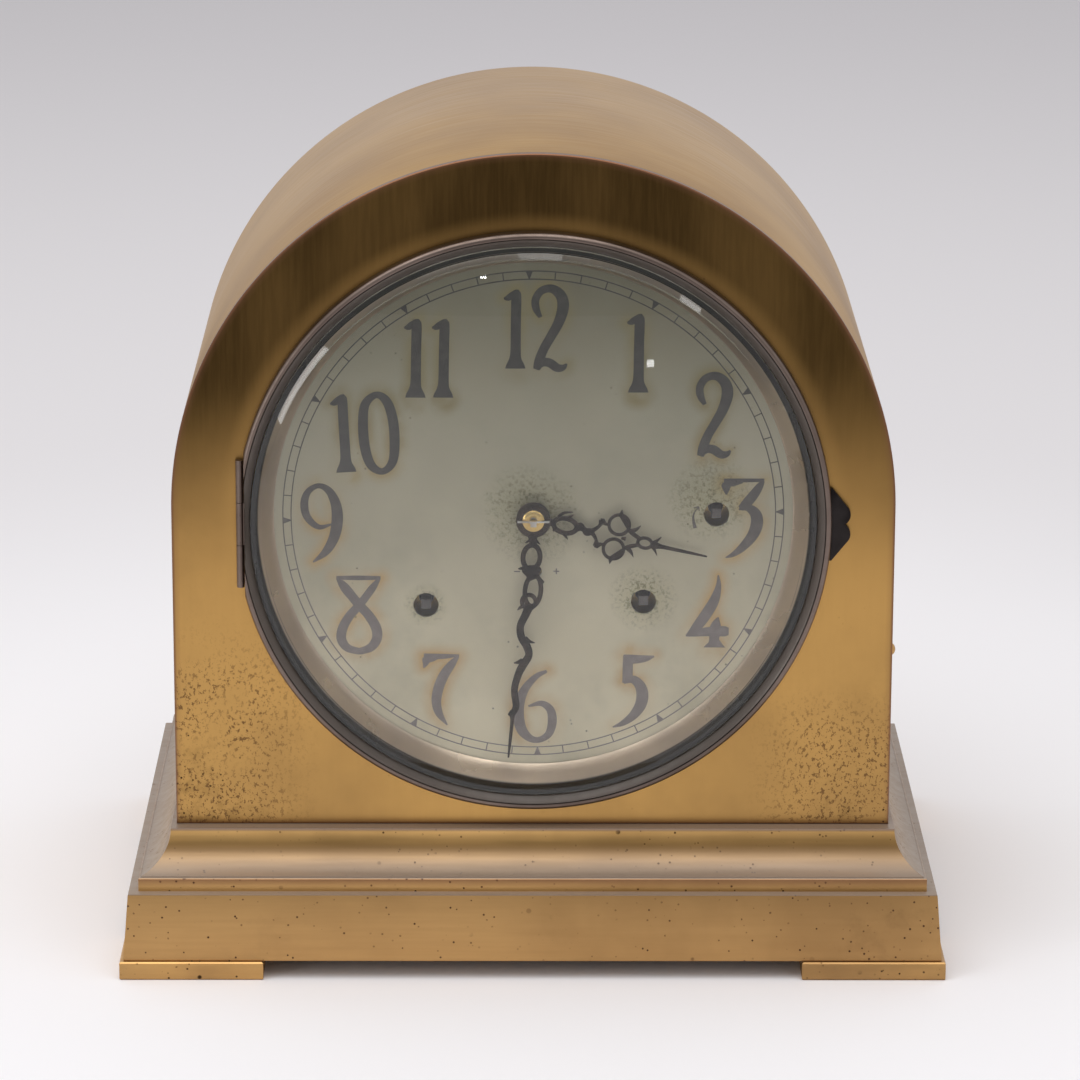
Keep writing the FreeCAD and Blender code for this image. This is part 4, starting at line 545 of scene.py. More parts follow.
# %% The base block
def moulding(profile, along=24):
    """Carry steps (half width, front, back, height) round a rectangle with sharp mitres."""
    side = np.linspace(-1, 1, along + 1)[:-1]
    one = np.ones(along)
    path = np.vstack([np.column_stack([side, -one]), np.column_stack([one, side]),
                      np.column_stack([-side, one]), np.column_stack([-one, -side])])
    half, front, back, height = np.asarray(profile, float).T
    sx, sy = path[:, 0][:, None], path[:, 1][:, None]
    depth = np.where(sy < 0, front, back)
    return np.stack([sx * half[None], sy * depth, height[None] + 0 * sx], axis=-1)


def rim_marks(grid, rims, reach):
    """1 at the profile steps that are worn edges, easing to 0 within the reach."""
    lines = grid[:, rims]
    gap = np.linalg.norm(grid[:, :, None] - lines[:, None], axis=-1).min(axis=2)
    return np.clip(1 - gap / reach, 0, 1).ravel()


block_low, block_high = corners("base_block")
BATTER, WALL, LEDGE, BACK_LEDGE, TOP_SHEET, SOFT_EDGE = 2.0, 4.0, 32, 14, 3, 0.5
half, deep, low, high = block_high[0], block_high[1], block_low[2], block_high[2]
block_profile = rounded(
    [(half, deep, deep, low), (half - BATTER, deep - BATTER, deep - BATTER, high),
     (half - LEDGE, deep - LEDGE, deep - BACK_LEDGE, high),
     (half - LEDGE, deep - LEDGE, deep - BACK_LEDGE, high - TOP_SHEET),
     (half - BATTER - WALL, deep - BATTER - WALL, deep - BATTER - WALL, high - TOP_SHEET),
     (half - BATTER - WALL, deep - BATTER - WALL, deep - BATTER - WALL, low)], SOFT_EDGE)
FOOT_RIM, TOP_RIM = 1, 4
grid = moulding(block_profile)
on_top = (grid[..., 2] > high - 0.3).astype(float).ravel()
piece("base_block_shell", shell(grid, True), "case", base_bronze, ["base_block"],
      {"rim": rim_marks(grid, [FOOT_RIM, TOP_RIM], 1.0) * 0.7, "dust_and_shade": on_top * 0.9})

# %% [markdown]
# The cove is a quarter hollow over a square fillet. Its radius follows from how far it rises
# and how far it reaches in. Dust and painted shade lie in the foot of the hollow, and a belt
# of painted shade lies above it.

# %% The cove
cove_low, cove_high = corners("base_cove")
half, front, low, high = cove_high[0], cove_low[1], cove_low[2], cove_high[2]
FILLET, REACH, NOSE = 5.0, 11.5, 0.4
BELT, BELT_HALF = 0.52, 0.22
rise = high - low - FILLET
radius = (rise ** 2 + REACH ** 2) / (2 * REACH)
turn = np.linspace(math.asin(rise / radius), 0, 18)
sweep_in = np.maximum(REACH - radius * (1 - np.cos(turn)), 1.0)
cove_back = cove_high[1]
lower = [(half, -front, cove_back, low), (half, -front, cove_back, low + FILLET - NOSE),
         (half - NOSE, -front - NOSE, cove_back, low + FILLET)]
curve = np.column_stack([half - sweep_in, -front - sweep_in, cove_back + 0 * turn,
                         high - radius * np.sin(turn)])
INNER = REACH + 10
inner = [(half - INNER, -front - INNER, cove_back - BACK_LEDGE, z) for z in (high, low)]
cove_profile = np.vstack([lower, curve, inner])
grid = moulding(cove_profile)
climb = (grid[..., 2] - low - FILLET) / rise
hollow, at_top = climb > -0.01, climb > 0.99
# Dust on the cove's top ledge; dust and painted shade in the foot of the hollow.
cove_dust_shade = np.where(at_top, 1.0, np.where(hollow, np.clip(1.1 - climb / 0.6, 0, 1), 0))
# A belt of painted shade across the hollow, where it mirrors the dim room.
belt = np.exp(-((climb - BELT) / BELT_HALF) ** 2)
belt = np.where(hollow & (climb < BELT), np.maximum(belt, 0.6), belt)
piece("cove_moulding", shell(grid, True), "case", base_bronze, ["base_cove"],
      {"rim": rim_marks(grid, [1, 3, len(lower) + len(curve) - 1], 0.9),
       "dust_and_shade": cove_dust_shade.ravel() * 0.85, "shade_belt": belt.ravel() * 0.8}, sharp=0.35)

# %% [markdown]
# Four low blocks carry the clock. Their corners are mitred rings too, so they need no modifier.

# %% The feet
def soft_block(x0, x1, y0, y1, z0, z1, edge=SOFT_EDGE):
    """A block with chamfered edges, closed by rings that shrink to its middle."""
    centre = np.array([(x0 + x1) / 2, (y0 + y1) / 2, 0])
    wide, deep = (x1 - x0) / 2, (y1 - y0) / 2
    rings = [(0, 0, 0, z0), (wide - edge, deep - edge, deep - edge, z0),
             (wide, deep, deep, z0 + edge), (wide, deep, deep, z1 - edge),
             (wide - edge, deep - edge, deep - edge, z1), (0, 0, 0, z1)]
    points, faces = shell(moulding(rings, 6), True, False)
    return points + centre, faces


foot_low, foot_high = corners("feet")
FOOT_LONG, FOOT_DEEP = 53.0, 46.0
feet = [soft_block(x, x + FOOT_LONG, y, y + FOOT_DEEP, foot_low[2], foot_high[2])
        for x in (foot_low[0], foot_high[0] - FOOT_LONG)
        for y in (foot_low[1], foot_high[1] - FOOT_DEEP)]
piece("four_feet", together(feet), "case", foot_bronze, ["feet"])

# %% [markdown]
# The hood is one sheet bent over an arch. Its section is carried along a path of straight
# leg, half circle and straight leg. The UV map holds the length along the path and
# the depth, so that the brushing follows the bend as the real one does.

# %% The hood
hood_low, hood_high = corners("case_hood")
HALF, TOP, FOOT = hood_high[0], hood_high[2], hood_low[2]
SPRING = TOP - HALF
SHEET, FOLD = 2.4, 0.35


def arch_path(arc=150, leg=14):
    """Path points and outward directions of the arch, from the left foot over to the right."""
    rise = np.linspace(FOOT, SPRING, leg, endpoint=False)
    t = np.linspace(math.pi, 0, arc)
    place = np.vstack([np.column_stack([-HALF + 0 * rise, rise]),
                       np.column_stack([HALF * np.cos(t), SPRING + HALF * np.sin(t)]),
                       np.column_stack([HALF + 0 * rise, rise[::-1]])])
    away = np.vstack([np.column_stack([-1 + 0 * rise, 0 * rise]),
                      np.column_stack([np.cos(t), np.sin(t)]),
                      np.column_stack([1 + 0 * rise, 0 * rise])])
    return place, away


place, away = arch_path()
front, back = hood_low[1], hood_high[1]
section = rounded([(0, front), (0, back), (SHEET, back), (SHEET, front)], FOLD)
inset, depth = section[:, 0][None, :, None], section[:, 1]
flat = place[:, None] - away[:, None] * inset
grid = np.stack([flat[..., 0], depth[None] + 0 * flat[..., 0], flat[..., 1]], axis=-1)
length = np.concatenate([[0], np.cumsum(np.linalg.norm(np.diff(place, axis=0), axis=1))])
length = np.concatenate([[0], length, length[-1:]])
grid = capped(grid)
flow = np.stack([length[:, None] + 0 * grid[..., 0], grid[..., 1]], axis=-1).reshape(-1, 2)
edge = np.minimum(np.abs(grid[..., 1] - front), np.abs(grid[..., 1] - back))
piece("hood_sheet", shell(grid), "case", hood_bronze, ["case_hood"],
      {"rim": np.clip(1 - edge / 0.9, 0, 1).ravel()}, flow)

# %% [markdown]
# The front is a flat sheet between the arch and the round hole of the bezel. In polar
# coordinates round the dial it is one grid: each ray runs from the outline in to the hole.

# %% The front plate
def to_outline(angle):
    """Distance from the dial centre to the arch outline in each direction: the ray meets
    the arc where u.a + sqrt(R^2 - a^2 + (u.a)^2), or else a side or the foot."""
    ux, uz = np.cos(angle), np.sin(angle)
    offset = SPRING - DIAL_HEIGHT
    arc = uz * offset + np.sqrt(HALF ** 2 - offset ** 2 + (uz * offset) ** 2)
    side = HALF / np.maximum(np.abs(ux), 1e-9)
    floor = (DIAL_HEIGHT - FOOT) / np.maximum(-uz, 1e-9)
    return np.where(arc * uz > offset, arc, np.minimum(side, floor))


low_corner = math.atan2(FOOT - DIAL_HEIGHT, HALF)
angles = np.sort(np.concatenate([np.linspace(-math.pi, math.pi, 360, endpoint=False),
                                 [low_corner, -math.pi - low_corner]]))
HOLE = BEZEL_RADIUS - 3.2
plate_low, plate_high = corners("front_plate")
outer = to_outline(angles)[:, None]
front, back = plate_low[1], plate_high[1]
insets = np.array([0, 0, 0.35, 1.2, 3.0])
levels = np.array([back, front + 0.35, front, front, front])
spread = np.concatenate([outer - insets, HOLE + insets[::-1] + 0 * outer], axis=1)
level = np.concatenate([levels, levels[::-1]])[None] + 0 * spread
grid = np.stack([spread * np.cos(angles)[:, None], level,
                 DIAL_HEIGHT + spread * np.sin(angles)[:, None]], axis=-1)
rim = np.tile([0.6, 1, 1, 0.25, 0, 0, 0.2, 0.5, 0.5, 0.5], (len(angles), 1)).ravel()
piece("front_sheet", shell(grid, True), "case", front_bronze, ["front_plate"],
      {"rim": rim})

# %% [markdown]
# The bezel is turned like a picture frame: an outer bead, a thin groove, a second bead at the
# crest and a slope down to the glass, with painted shade darkening the groove and the slope.
# It has a flat cut at the left for the hinge.
# Inside it sits a silvered sloping ring that carries the eye down to the dial.

# %% The bezel
bezel_back, crest = bezel_high[1], bezel_low[1]
R = BEZEL_RADIUS
bezel_profile = np.array([(R - 5.4, bezel_back), (R - 5.4, crest + 2.6), (R - 4.6, crest + 1.75),
                          (R - 3.6, crest + 0.9), (R - 2.9, crest + 0.35), (R - 2.5, crest + 0.12),
                          (R - 2.3, crest + 0.6), (R - 2.1, crest + 0.1), (R - 1.6, crest),
                          (R - 1.0, crest + 0.15), (R - 0.45, crest + 0.6), (R - 0.1, crest + 1.3),
                          (R, crest + 2.2), (R, bezel_back)])
grid = turned(bezel_profile, DIAL_HEIGHT, steps=480)
NOTCH, NOTCH_HALF = 105.2, 25.4
cut = (np.abs(grid[..., 2] - DIAL_HEIGHT) < NOTCH_HALF) & (grid[..., 0] < -NOTCH)
grid[..., 0] = np.where(cut, -NOTCH, grid[..., 0])
# Painted shade: near-black on the inner slope and the groove, none on the outer beads.
inner = np.interp(bezel_profile[:, 0], [R - 5.4, R - 2.6, R - 2.3, R - 2.1], [0.9, 0.75, 1.0, 0.0])
piece("bezel_turning", shell(grid, True), "bezel", bezel_bronze, ["bezel_ring"],
      {"dust_and_shade": np.tile(inner, (len(grid), 1)).ravel()})

# %% [markdown]
# The sloping ring is silvered where it shows and black where it meets the glass.

# %% The sloping ring
ring_low, ring_high = corners("sight_ring")
wide, narrow = ring_high[0], 95.0
ring_profile = np.array([(wide, ring_low[1]), (narrow + 2.6, ring_high[1] - 3.3),
                         (narrow + 0.9, ring_high[1] - 0.8), (narrow, ring_high[1]),
                         (narrow + 0.8, ring_high[1]), (wide, ring_low[1] + 1.2)])
share = np.array([0.0, 0.45, 0.55])[:, None]
ring_profile = np.vstack([ring_profile[0] + (ring_profile[1] - ring_profile[0]) * share,
                          ring_profile[1:]])
# Painted shadow: near-black on the flange under the bezel's lip.
black = np.isin(np.arange(len(ring_profile)), (0, 1, len(ring_profile) - 1)).astype(float)
grid = turned(ring_profile, DIAL_HEIGHT)
piece("sloping_ring", shell(grid, True), "bezel", ring_silver.material,
      ["sight_ring"], {"black": np.tile(black, (len(grid), 1)).ravel()})

# %% [markdown]
# The glass is a shallow dome, a parabola whose edge falls faster over a narrow bevel.

# %% The glass
glass_low, glass_high = corners("bezel_glass")
EDGE, GLASS = glass_high[0], 1.8
dome = glass_high[1] - GLASS - glass_low[1]
BEVEL_START, BEVEL_END, BEVEL_DROP = 98.9, 101.2, 0.90
radii = np.concatenate([np.linspace(0, BEVEL_START - 0.1, 34),
                        np.linspace(BEVEL_START, BEVEL_END, 6), [BEVEL_END + 0.1, EDGE]])
share = radii / EDGE
sink = (dome - BEVEL_DROP) * share ** 2 + BEVEL_DROP * np.clip(
    (radii - BEVEL_START) / (BEVEL_END - BEVEL_START), 0, 1)
outside = np.column_stack([EDGE * share, glass_low[1] + sink])
inside = np.column_stack([EDGE * share[::-1], glass_low[1] + GLASS + sink[::-1]])
piece("dome_pane", shell(turned(np.vstack([outside, inside]), DIAL_HEIGHT), True), "bezel",
      glass.material, ["bezel_glass"], sharp=0.2)

# %% [markdown]
# Everything drawn or cut along a line, such as a numeral, the minute track or a pierced hand,
# is a ribbon: a flat bevelled bar that follows a curve and changes width on the way.
# The curve is a Catmull-Rom spline, which runs through its few points.

# %% Ribbons
def flowing(points, steps, closed=False):
    """Catmull-Rom curve: each span is a cubic whose end slopes are half of the chord
    between the neighbours. The last column, the width, flows in the same way."""
    p = np.asarray(points, float)
    if closed:
        before, start, after, last = np.roll(p, 1, 0), p, np.roll(p, -1, 0), np.roll(p, -2, 0)
    else:
        q = np.vstack([2 * p[0] - p[1], p, 2 * p[-1] - p[-2]])
        before, start, after, last = q[:-3], q[1:-2], q[2:-1], q[3:]
    t = np.linspace(0, 1, steps, endpoint=False)[None, :, None]
    a, b, c, d = (v[:, None] for v in (before, start, after, last))
    curve = (0.5 * (2 * b + (c - a) * t + (2 * a - 5 * b + 4 * c - d) * t ** 2
                    + (3 * b - a - 3 * c + d) * t ** 3)).reshape(-1, p.shape[1])
    return curve if closed else np.vstack([curve, p[-1]])


def ribbon(points, low, high, closed=False, bevel=0.25, straight=False):
    """A bar along the curve: its section has the curve's width and reaches from low to high."""
    path = np.asarray(points, float) if straight else flowing(points, 8, closed)
    place, width = path[:, :2], np.maximum(path[:, 2], 0.02)
    if closed:
        along = np.roll(place, -1, 0) - np.roll(place, 1, 0)
    else:
        along = np.gradient(place, axis=0)
    along /= np.maximum(np.linalg.norm(along, axis=1, keepdims=True), 1e-9)
    across = np.column_stack([-along[:, 1], along[:, 0]])
    soft = np.minimum(bevel, width / 4)
    half = width / 2
    shoulder = high + soft * np.sign(low - high)
    sides = np.stack([-half, -half, -half + soft, half - soft, half, half], axis=1)
    levels = np.stack([low + 0 * soft, shoulder, high + 0 * soft,
                       high + 0 * soft, shoulder, low + 0 * soft], axis=1)
    flat = place[:, None] + across[:, None] * sides[..., None]
    grid = np.stack([flat[..., 0], levels, flat[..., 1]], axis=-1)
    if not closed:
        grid = capped(grid)
    return shell(grid, closed)


def oval(u, v, long, wide, width, count=14):
    """Closed ribbon points on an ellipse."""
    t = np.linspace(0, 2 * math.pi, count, endpoint=False)
    return np.column_stack([v + wide * np.sin(t), u + long * np.cos(t), width + 0 * t])


print("ribbon helper ready")

# %% [markdown]
# The dial is silvered brass that has yellowed under its lacquer. Its numerals are dark and
# hand drawn in character, with sweeping tails, so each digit is a few ribbons: points in
# millimetres from the digit's middle, each with the width of the pen.

# %% Digits
DIGITS = {
    "0": [("closed", [(0, 14.4, 2.1), (3.6, 11.8, 2.9), (5.4, 5, 3.2), (5.5, -4, 3.2),
                      (4.2, -11.2, 2.8), (0.4, -14.4, 2.1), (-3.6, -11.8, 2.9), (-5.4, -5, 3.2),
                      (-5.5, 4, 3.2), (-4.2, 11.2, 2.8)])],
    "1": [("open", [(0.6, 14.5, 1.2), (0.4, 12.6, 3.0), (0.2, 4, 3.2), (0.1, -8, 3.3),
                    (0, -11, 3.9), (0, -13.2, 5.8), (0, -14.7, 6.6)]),
          ("open", [(1.2, 14.4, 0.6), (-0.8, 12.9, 1.9), (-2.6, 11.6, 1.9), (-4.2, 11.3, 0.5)])],
    "2": [("open", [(-3.2, 4.4, 1.2), (-4.8, 7.6, 2.3), (-5.0, 11.0, 2.4), (-2.9, 14.2, 2.4),
                    (0.8, 15.0, 2.7), (4.0, 12.6, 3.4), (5.0, 8.4, 3.7), (3.5, 2.8, 3.3),
                    (0.8, -2.4, 3.0), (-1.9, -7.2, 2.9), (-3.6, -11.6, 3.0), (-4.6, -15.0, 2.2)]),
          ("open", [(-4.8, -14.8, 1.2), (-2.3, -12.5, 2.6), (0.2, -12.6, 2.9), (2.9, -14.4, 2.7),
                    (5.1, -14.2, 1.9), (6.4, -12.9, 0.5)])],
    "3": [("open", [(-7.4, 14.4, 1.1), (0, 14.4, 1.2), (7.4, 14.5, 1.0)]),
          ("open", [(-7.0, 13.8, 1.6), (-6.6, 12.6, 3.0), (-6.5, 11.0, 2.2), (-6.4, 9.0, 0.3)]),
          ("open", [(-7.2, 13.2, 2.2), (-4.0, 13.5, 2.2), (-0.5, 14.0, 1.0)]),
          ("open", [(7.0, 14.2, 1.0), (5.6, 12.0, 2.4), (3.6, 9.0, 3.1), (1.2, 6.0, 3.2),
                    (-1.2, 3.7, 2.0)]),
          ("open", [(-1.8, 3.5, 0.5), (1.5, 4.0, 2.3), (4.3, 1.8, 3.6), (4.9, -2.0, 4.0),
                    (3.4, -6.4, 3.6), (-0.1, -10.8, 2.7), (-3.5, -13.6, 1.6),
                    (-6.4, -14.9, 0.3)])],
    "4": [("open", [(3.8, 13.9, 0.3), (3.9, 9.6, 1.8), (2.4, 4.2, 3.2), (-0.6, -1.2, 3.6),
                    (-4.2, -6.2, 3.0), (-7.8, -9.4, 0.4)]),
          ("open", [(-7.9, -9.4, 0.3), (-4.8, -8.6, 1.8), (-1.2, -7.9, 2.8), (3.2, -7.6, 3.3),
                    (6.4, -7.6, 3.4), (7.9, -7.6, 2.4)]),
          ("open", [(4.0, -2.2, 0.3), (3.3, -4.6, 2.8), (2.8, -7.6, 4.0), (2.6, -10.6, 3.2),
                    (2.7, -12.2, 4.6), (2.7, -13.8, 7.2)])],
    "5": [("open", [(-3.6, 12.6, 3.0), (0.5, 12.5, 2.9), (4.5, 12.8, 2.0), (7.5, 13.6, 0.4)]),
          ("open", [(-2.1, 14.0, 3.2), (-2.2, 9.0, 3.3), (-2.3, 3.4, 3.3)]),
          ("open", [(-3.8, 3.9, 1.6), (-0.4, 4.7, 2.6), (2.2, 2.6, 3.4), (3.3, -1.0, 3.9),
                    (2.6, -5.2, 3.7), (0.0, -9.2, 2.9), (-3.8, -12.2, 1.8), (-7.6, -13.8, 0.3)])],
    "6": [("open", [(4.2, 13.7, 0.9), (0.4, 11.7, 1.8), (-3.6, 7.2, 2.6), (-5.8, 1.8, 3.3),
                    (-6.2, -4.0, 3.6), (-5.0, -9.0, 3.4), (-2.0, -12.3, 2.4), (1.5, -12.9, 1.9),
                    (5.0, -10.6, 2.4), (6.3, -5.8, 2.9), (5.5, -1.2, 2.6), (2.2, 1.2, 1.8),
                    (-2.6, 0.1, 0.5)])],
    "7": [("open", [(-6.4, 13.1, 1.4), (0, 12.8, 1.7), (6.6, 13.2, 0.6)]),
          ("open", [(-6.2, 12.6, 1.6), (-5.6, 11.4, 2.6), (-5.8, 10.0, 1.8), (-6.5, 8.4, 0.3)]),
          ("open", [(-5.6, 11.6, 2.4), (-3.2, 12.0, 2.0), (-1.0, 12.6, 1.0)]),
          ("open", [(6.3, 12.9, 0.8), (3.7, 9.6, 2.6), (1.0, 5.6, 3.2), (-1.0, 0.6, 3.3),
                    (-1.8, -4.6, 3.1), (-0.8, -9.2, 2.4), (2.2, -13.7, 0.3)])],
    "8": [("open", [(-8.2, 14.4, 1.1), (0, 14.4, 1.4), (8.0, 14.4, 1.1)]),
          ("open", [(-7.8, 14.2, 1.0), (-5.2, 10.8, 3.0), (-2.4, 7.2, 3.0), (0.3, 3.8, 3.0),
                    (3.8, -0.2, 3.1), (6.3, -4.8, 3.3), (6.5, -8.8, 3.2), (4.3, -12.2, 2.8),
                    (0.2, -13.7, 2.1), (-1.6, -13.5, 2.2)]),
          ("open", [(1.8, -13.4, 2.2), (0.2, -13.7, 2.1), (-4.2, -12.5, 2.6), (-6.5, -9.2, 3.1),
                    (-6.0, -4.8, 3.1), (-3.5, -0.2, 2.9), (0, 3.8, 2.7), (2.6, 7.2, 2.5),
                    (5.2, 10.8, 2.3), (7.6, 14.2, 0.8)])],
    "9": [("open", [(3.9, -0.4, 0.5), (-1.0, -1.4, 1.7), (-5.1, 2.4, 2.4), (-6.1, 7.6, 2.5),
                    (-4.6, 12.0, 2.0), (-0.8, 14.2, 1.6), (3.0, 12.2, 2.4), (5.4, 7.2, 3.3),
                    (5.9, 1.2, 3.7), (4.7, -5.2, 3.4), (1.6, -10.8, 2.5), (-3.1, -14.8, 0.4)])]}
print("digits", sum(len(strokes) for strokes in DIGITS.values()), "strokes")

# %% [markdown]
# Each hour has its own place, since a hand lettered dial is never quite even. An entry holds
# the numeral's middle across and up from the centre, its tilt in degrees, and how far each of
# its digits is shifted sideways.

# %% Numerals
HOURS = {1: (38.0, 61.3, 0, (0,)), 2: (65.5, 37.8, 0, (0,)), 3: (77.0, -0.8, 0, (0,)),
         4: (64.2, -36.3, 0, (0,)), 5: (37.2, -67.2, 0, (0,)), 6: (0.9, -73.0, 0, (0,)),
         7: (-33.9, -66.5, 0, (0,)), 8: (-64.1, -38.0, 0, (0,)), 9: (-77.7, -2.8, 0, (0,)),
         10: (-61.8, 31.2, 3.5, (-7.4, 5.4)), 11: (-38.3, 59.3, -0.5, (-4.6, 5.5)),
         12: (0.2, 70.2, 0, (-6.9, 5.4))}
PEN_SCALE, PEN_MORE = 1.10, 0.15


def numeral(hour):
    """Strokes of an hour in dial coordinates: each digit is tilted, then shifted to its place."""
    x, z, tilt, shifts = HOURS[hour]
    s, c = math.sin(math.radians(tilt)), math.cos(math.radians(tilt))
    strokes = []
    for digit, shift in zip(str(hour), shifts):
        for kind, points in DIGITS[digit]:
            u, v, width = np.array(points, float).T
            strokes.append((kind, np.column_stack([x + shift + u * c - v * s, z + u * s + v * c,
                                                   width * PEN_SCALE + PEN_MORE])))
    return strokes


print("hours", len(HOURS))

# %% [markdown]
# The ink stands about a tenth of a millimetre proud of the dial, like thick enamel. Strokes
# that cross lie a hair above one another, because faces in one plane would flicker.
# The minute track is two fine circles with a bar at each minute and a small wedge at each
# fifth one. It sits a degree askew, as it does on the real clock.

# %% Ink and numerals
ink = Finish("dial_ink", (0.07, 0.06, 0.055), 0.0, 0.5)
# Painted reflection lightens the lower ink and painted shade darkens the upper.
ink_light_and_shade = ink.fade(ink.axes()[2], 0.11, 0.20)
ink.set("Base Color", ink.mix(ink.fade(ink.noise(300.0, 4.0), 0.35, 0.75),
                              ink.mix(ink_light_and_shade, (0.25, 0.21, 0.20), (0.040, 0.037, 0.031)),
                              ink.mix(ink_light_and_shade, (0.32, 0.27, 0.255), (0.070, 0.065, 0.054))))
dial_low, dial_high = corners("dial_plate")
FACE, PROUD, LAYER, LAYERS, ASKEW = dial_low[1], 0.06, 0.012, 7, 1.1


def on_dial(shapes):
    """Shapes drawn round the dial's middle, moved up to its height."""
    points, faces = together(shapes)
    return points + np.array([0, 0, DIAL_HEIGHT]), faces


strokes = [stroke for hour in HOURS for stroke in numeral(hour)]
numerals = [ribbon(p, FACE, FACE - PROUD - LAYER * (k % LAYERS), kind == "closed", 0.05)
            for k, (kind, p) in enumerate(strokes)]
piece("hour_numerals", on_dial(numerals), "case", ink.material)

# %% [markdown]
# The track comes next, with a small arrow at the right key hole and a minus and a plus at the
# regulator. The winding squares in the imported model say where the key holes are.

# %% The minute track
TRACK_OUT, TRACK_IN, LINE = 91.7, 88.7, 0.42
track = [ribbon(oval(0, 0, r, r, LINE, 240), FACE, FACE - PROUD / 2, True, 0.03, straight=True)
         for r in (TRACK_OUT, TRACK_IN)]
for minute in range(60):
    turn = math.radians(6 * minute - ASKEW)
    away = np.array([math.sin(turn), math.cos(turn)])
    wide, narrow = (2.6, 0.3) if minute % 5 == 0 else (LINE, LINE)
    track.append(ribbon([(*away * TRACK_OUT, wide), (*away * TRACK_IN, narrow)],
                        FACE, FACE - PROUD / 2 - LAYER, False, 0.03, straight=True))
holes = {name: (corners(name)[0] + corners(name)[1]) / 2 for name in
         ("time_winding_arbor", "strike_winding_arbor", "chime_winding_arbor")}
cx, cz = holes["chime_winding_arbor"][0], holes["chime_winding_arbor"][2] - DIAL_HEIGHT
for points in ([(-7.8, -5.2, 1.4), (-8.5, -2.0, 0.9), (-8.3, 0.4, 0.5), (-6.7, 2.7, 0.35)],
               [(-8.5, 2.5, 0.3), (-6.6, 2.9, 0.5)], [(-6.6, 2.9, 0.5), (-6.4, 1.2, 0.3)]):
    track.append(ribbon(np.array(points) + (cx, cz, 0), FACE, FACE - PROUD / 2, False, 0.03))
for points in ([(-7.0, -21.1, 0.5), (-4.8, -21.1, 0.5)], [(7.4, -21.0, 0.5), (9.6, -21.0, 0.5)],
               [(8.5, -22.1, 0.5), (8.5, -19.9, 0.5)]):
    track.append(ribbon(points, FACE, FACE - PROUD / 2, False, 0.03, straight=True))
piece("minute_track", on_dial(track), "case", ink.material)

# %% [markdown]
# The dial sheet is a polar grid. Points inside a key hole move out to its rim, and cells that lie
# wholly inside go. Two values travel with the mesh: how near a point is to a numeral, for the
# ochre haloes, and how near it is to a hole, for the speckled wear.

# %% Grid and marks of the dial
KEY_HOLE, REGULATOR_HOLE, PIPE_HOLE = 4.6, 2.4, 3.3
HALO_REACH, NEAR_NUMERAL = 4.8, 26
radii = np.concatenate([np.linspace(PIPE_HOLE, 96, 112), [dial_high[0]]])
turns = np.linspace(0, 2 * math.pi, 300, endpoint=False)
flat = np.stack([radii[None] * np.cos(turns)[:, None], radii[None] * np.sin(turns)[:, None]],
                axis=-1).reshape(-1, 2)
cells = quads(len(turns), len(radii), True, False)
openings = [(p[0], p[2] - DIAL_HEIGHT, KEY_HOLE) for p in holes.values()]
openings.append((0.8, -21.0, REGULATOR_HOLE))
keep = np.ones(len(cells), bool)
for x, z, r in openings:
    off = flat - (x, z)
    gap = np.linalg.norm(off, axis=1)
    inside = gap < r
    keep &= ~inside[cells].all(axis=1)
    flat = np.where(inside[:, None], (x, z) + off / np.maximum(gap, 1e-6)[:, None] * r, flat)
halo = np.zeros(len(flat))
for hour in HOURS:
    pen = np.vstack([flowing(p, 6, kind == "closed") for kind, p in numeral(hour)])
    near = np.where(np.linalg.norm(flat - HOURS[hour][:2], axis=1) < NEAR_NUMERAL)[0]
    apart = np.linalg.norm(flat[near][:, None] - pen[None, :, :2], axis=-1)
    gap = (apart - pen[None, :, 2] / 2).min(axis=1)
    halo[near] = np.maximum(halo[near], np.clip(1 - gap / HALO_REACH, 0, 1) ** 1.4)
wear = np.zeros(len(flat))
for x, z, reach in ((0, 0, 16), (-3, 3, 14), (holes["time_winding_arbor"][0], -31, 11),
                    (cx - 2, cz + 6, 14), (holes["strike_winding_arbor"][0], -34, 7)):
    worn = np.clip(1.25 - np.linalg.norm(flat - (x, z), axis=1) / reach, 0, 1)
    wear = np.maximum(wear, worn)
print("dial grid", len(flat), "points")

# %% [markdown]
# The aged silver is a stack of thin paints: painted shade leaves it paler below and dim
# above, and over that lie clouds, ochre haloes, speckled wear and a few freckles.

# %% Finish of the dial
silvered = Finish("aged_dial", (0.55, 0.5, 0.4), 0.30, 0.46)
height = silvered.axes()[2]
# Painted shade: the cream is paler low down and dimmer up top.
cream = silvered.mix(silvered.fade(height, 0.09, 0.20), (0.80, 0.71, 0.52), (0.44, 0.405, 0.295))
clouds = silvered.fade(silvered.noise(24.0, 6.0, rough=0.65), 0.4, 0.72, 0.0, 0.30)
ochre = silvered.both(silvered.mark("halo"),
                      silvered.fade(silvered.noise(48.0, 4.0), 0.38, 0.62, 0.22, 1.0))
# The same painted shade makes the haloes' ochre paler below and darker above.
ochre_paint = silvered.mix(silvered.fade(height, 0.13, 0.22), (0.64, 0.42, 0.18),
                           (0.26, 0.22, 0.10))
specks = silvered.fade(silvered.noise(900.0, 3.0, rough=0.8), 0.50, 0.60)
freckles = silvered.both(silvered.spots(210.0, 0.10),
                         silvered.fade(silvered.noise(40.0, 2.0), 0.5, 0.62), 0.7)
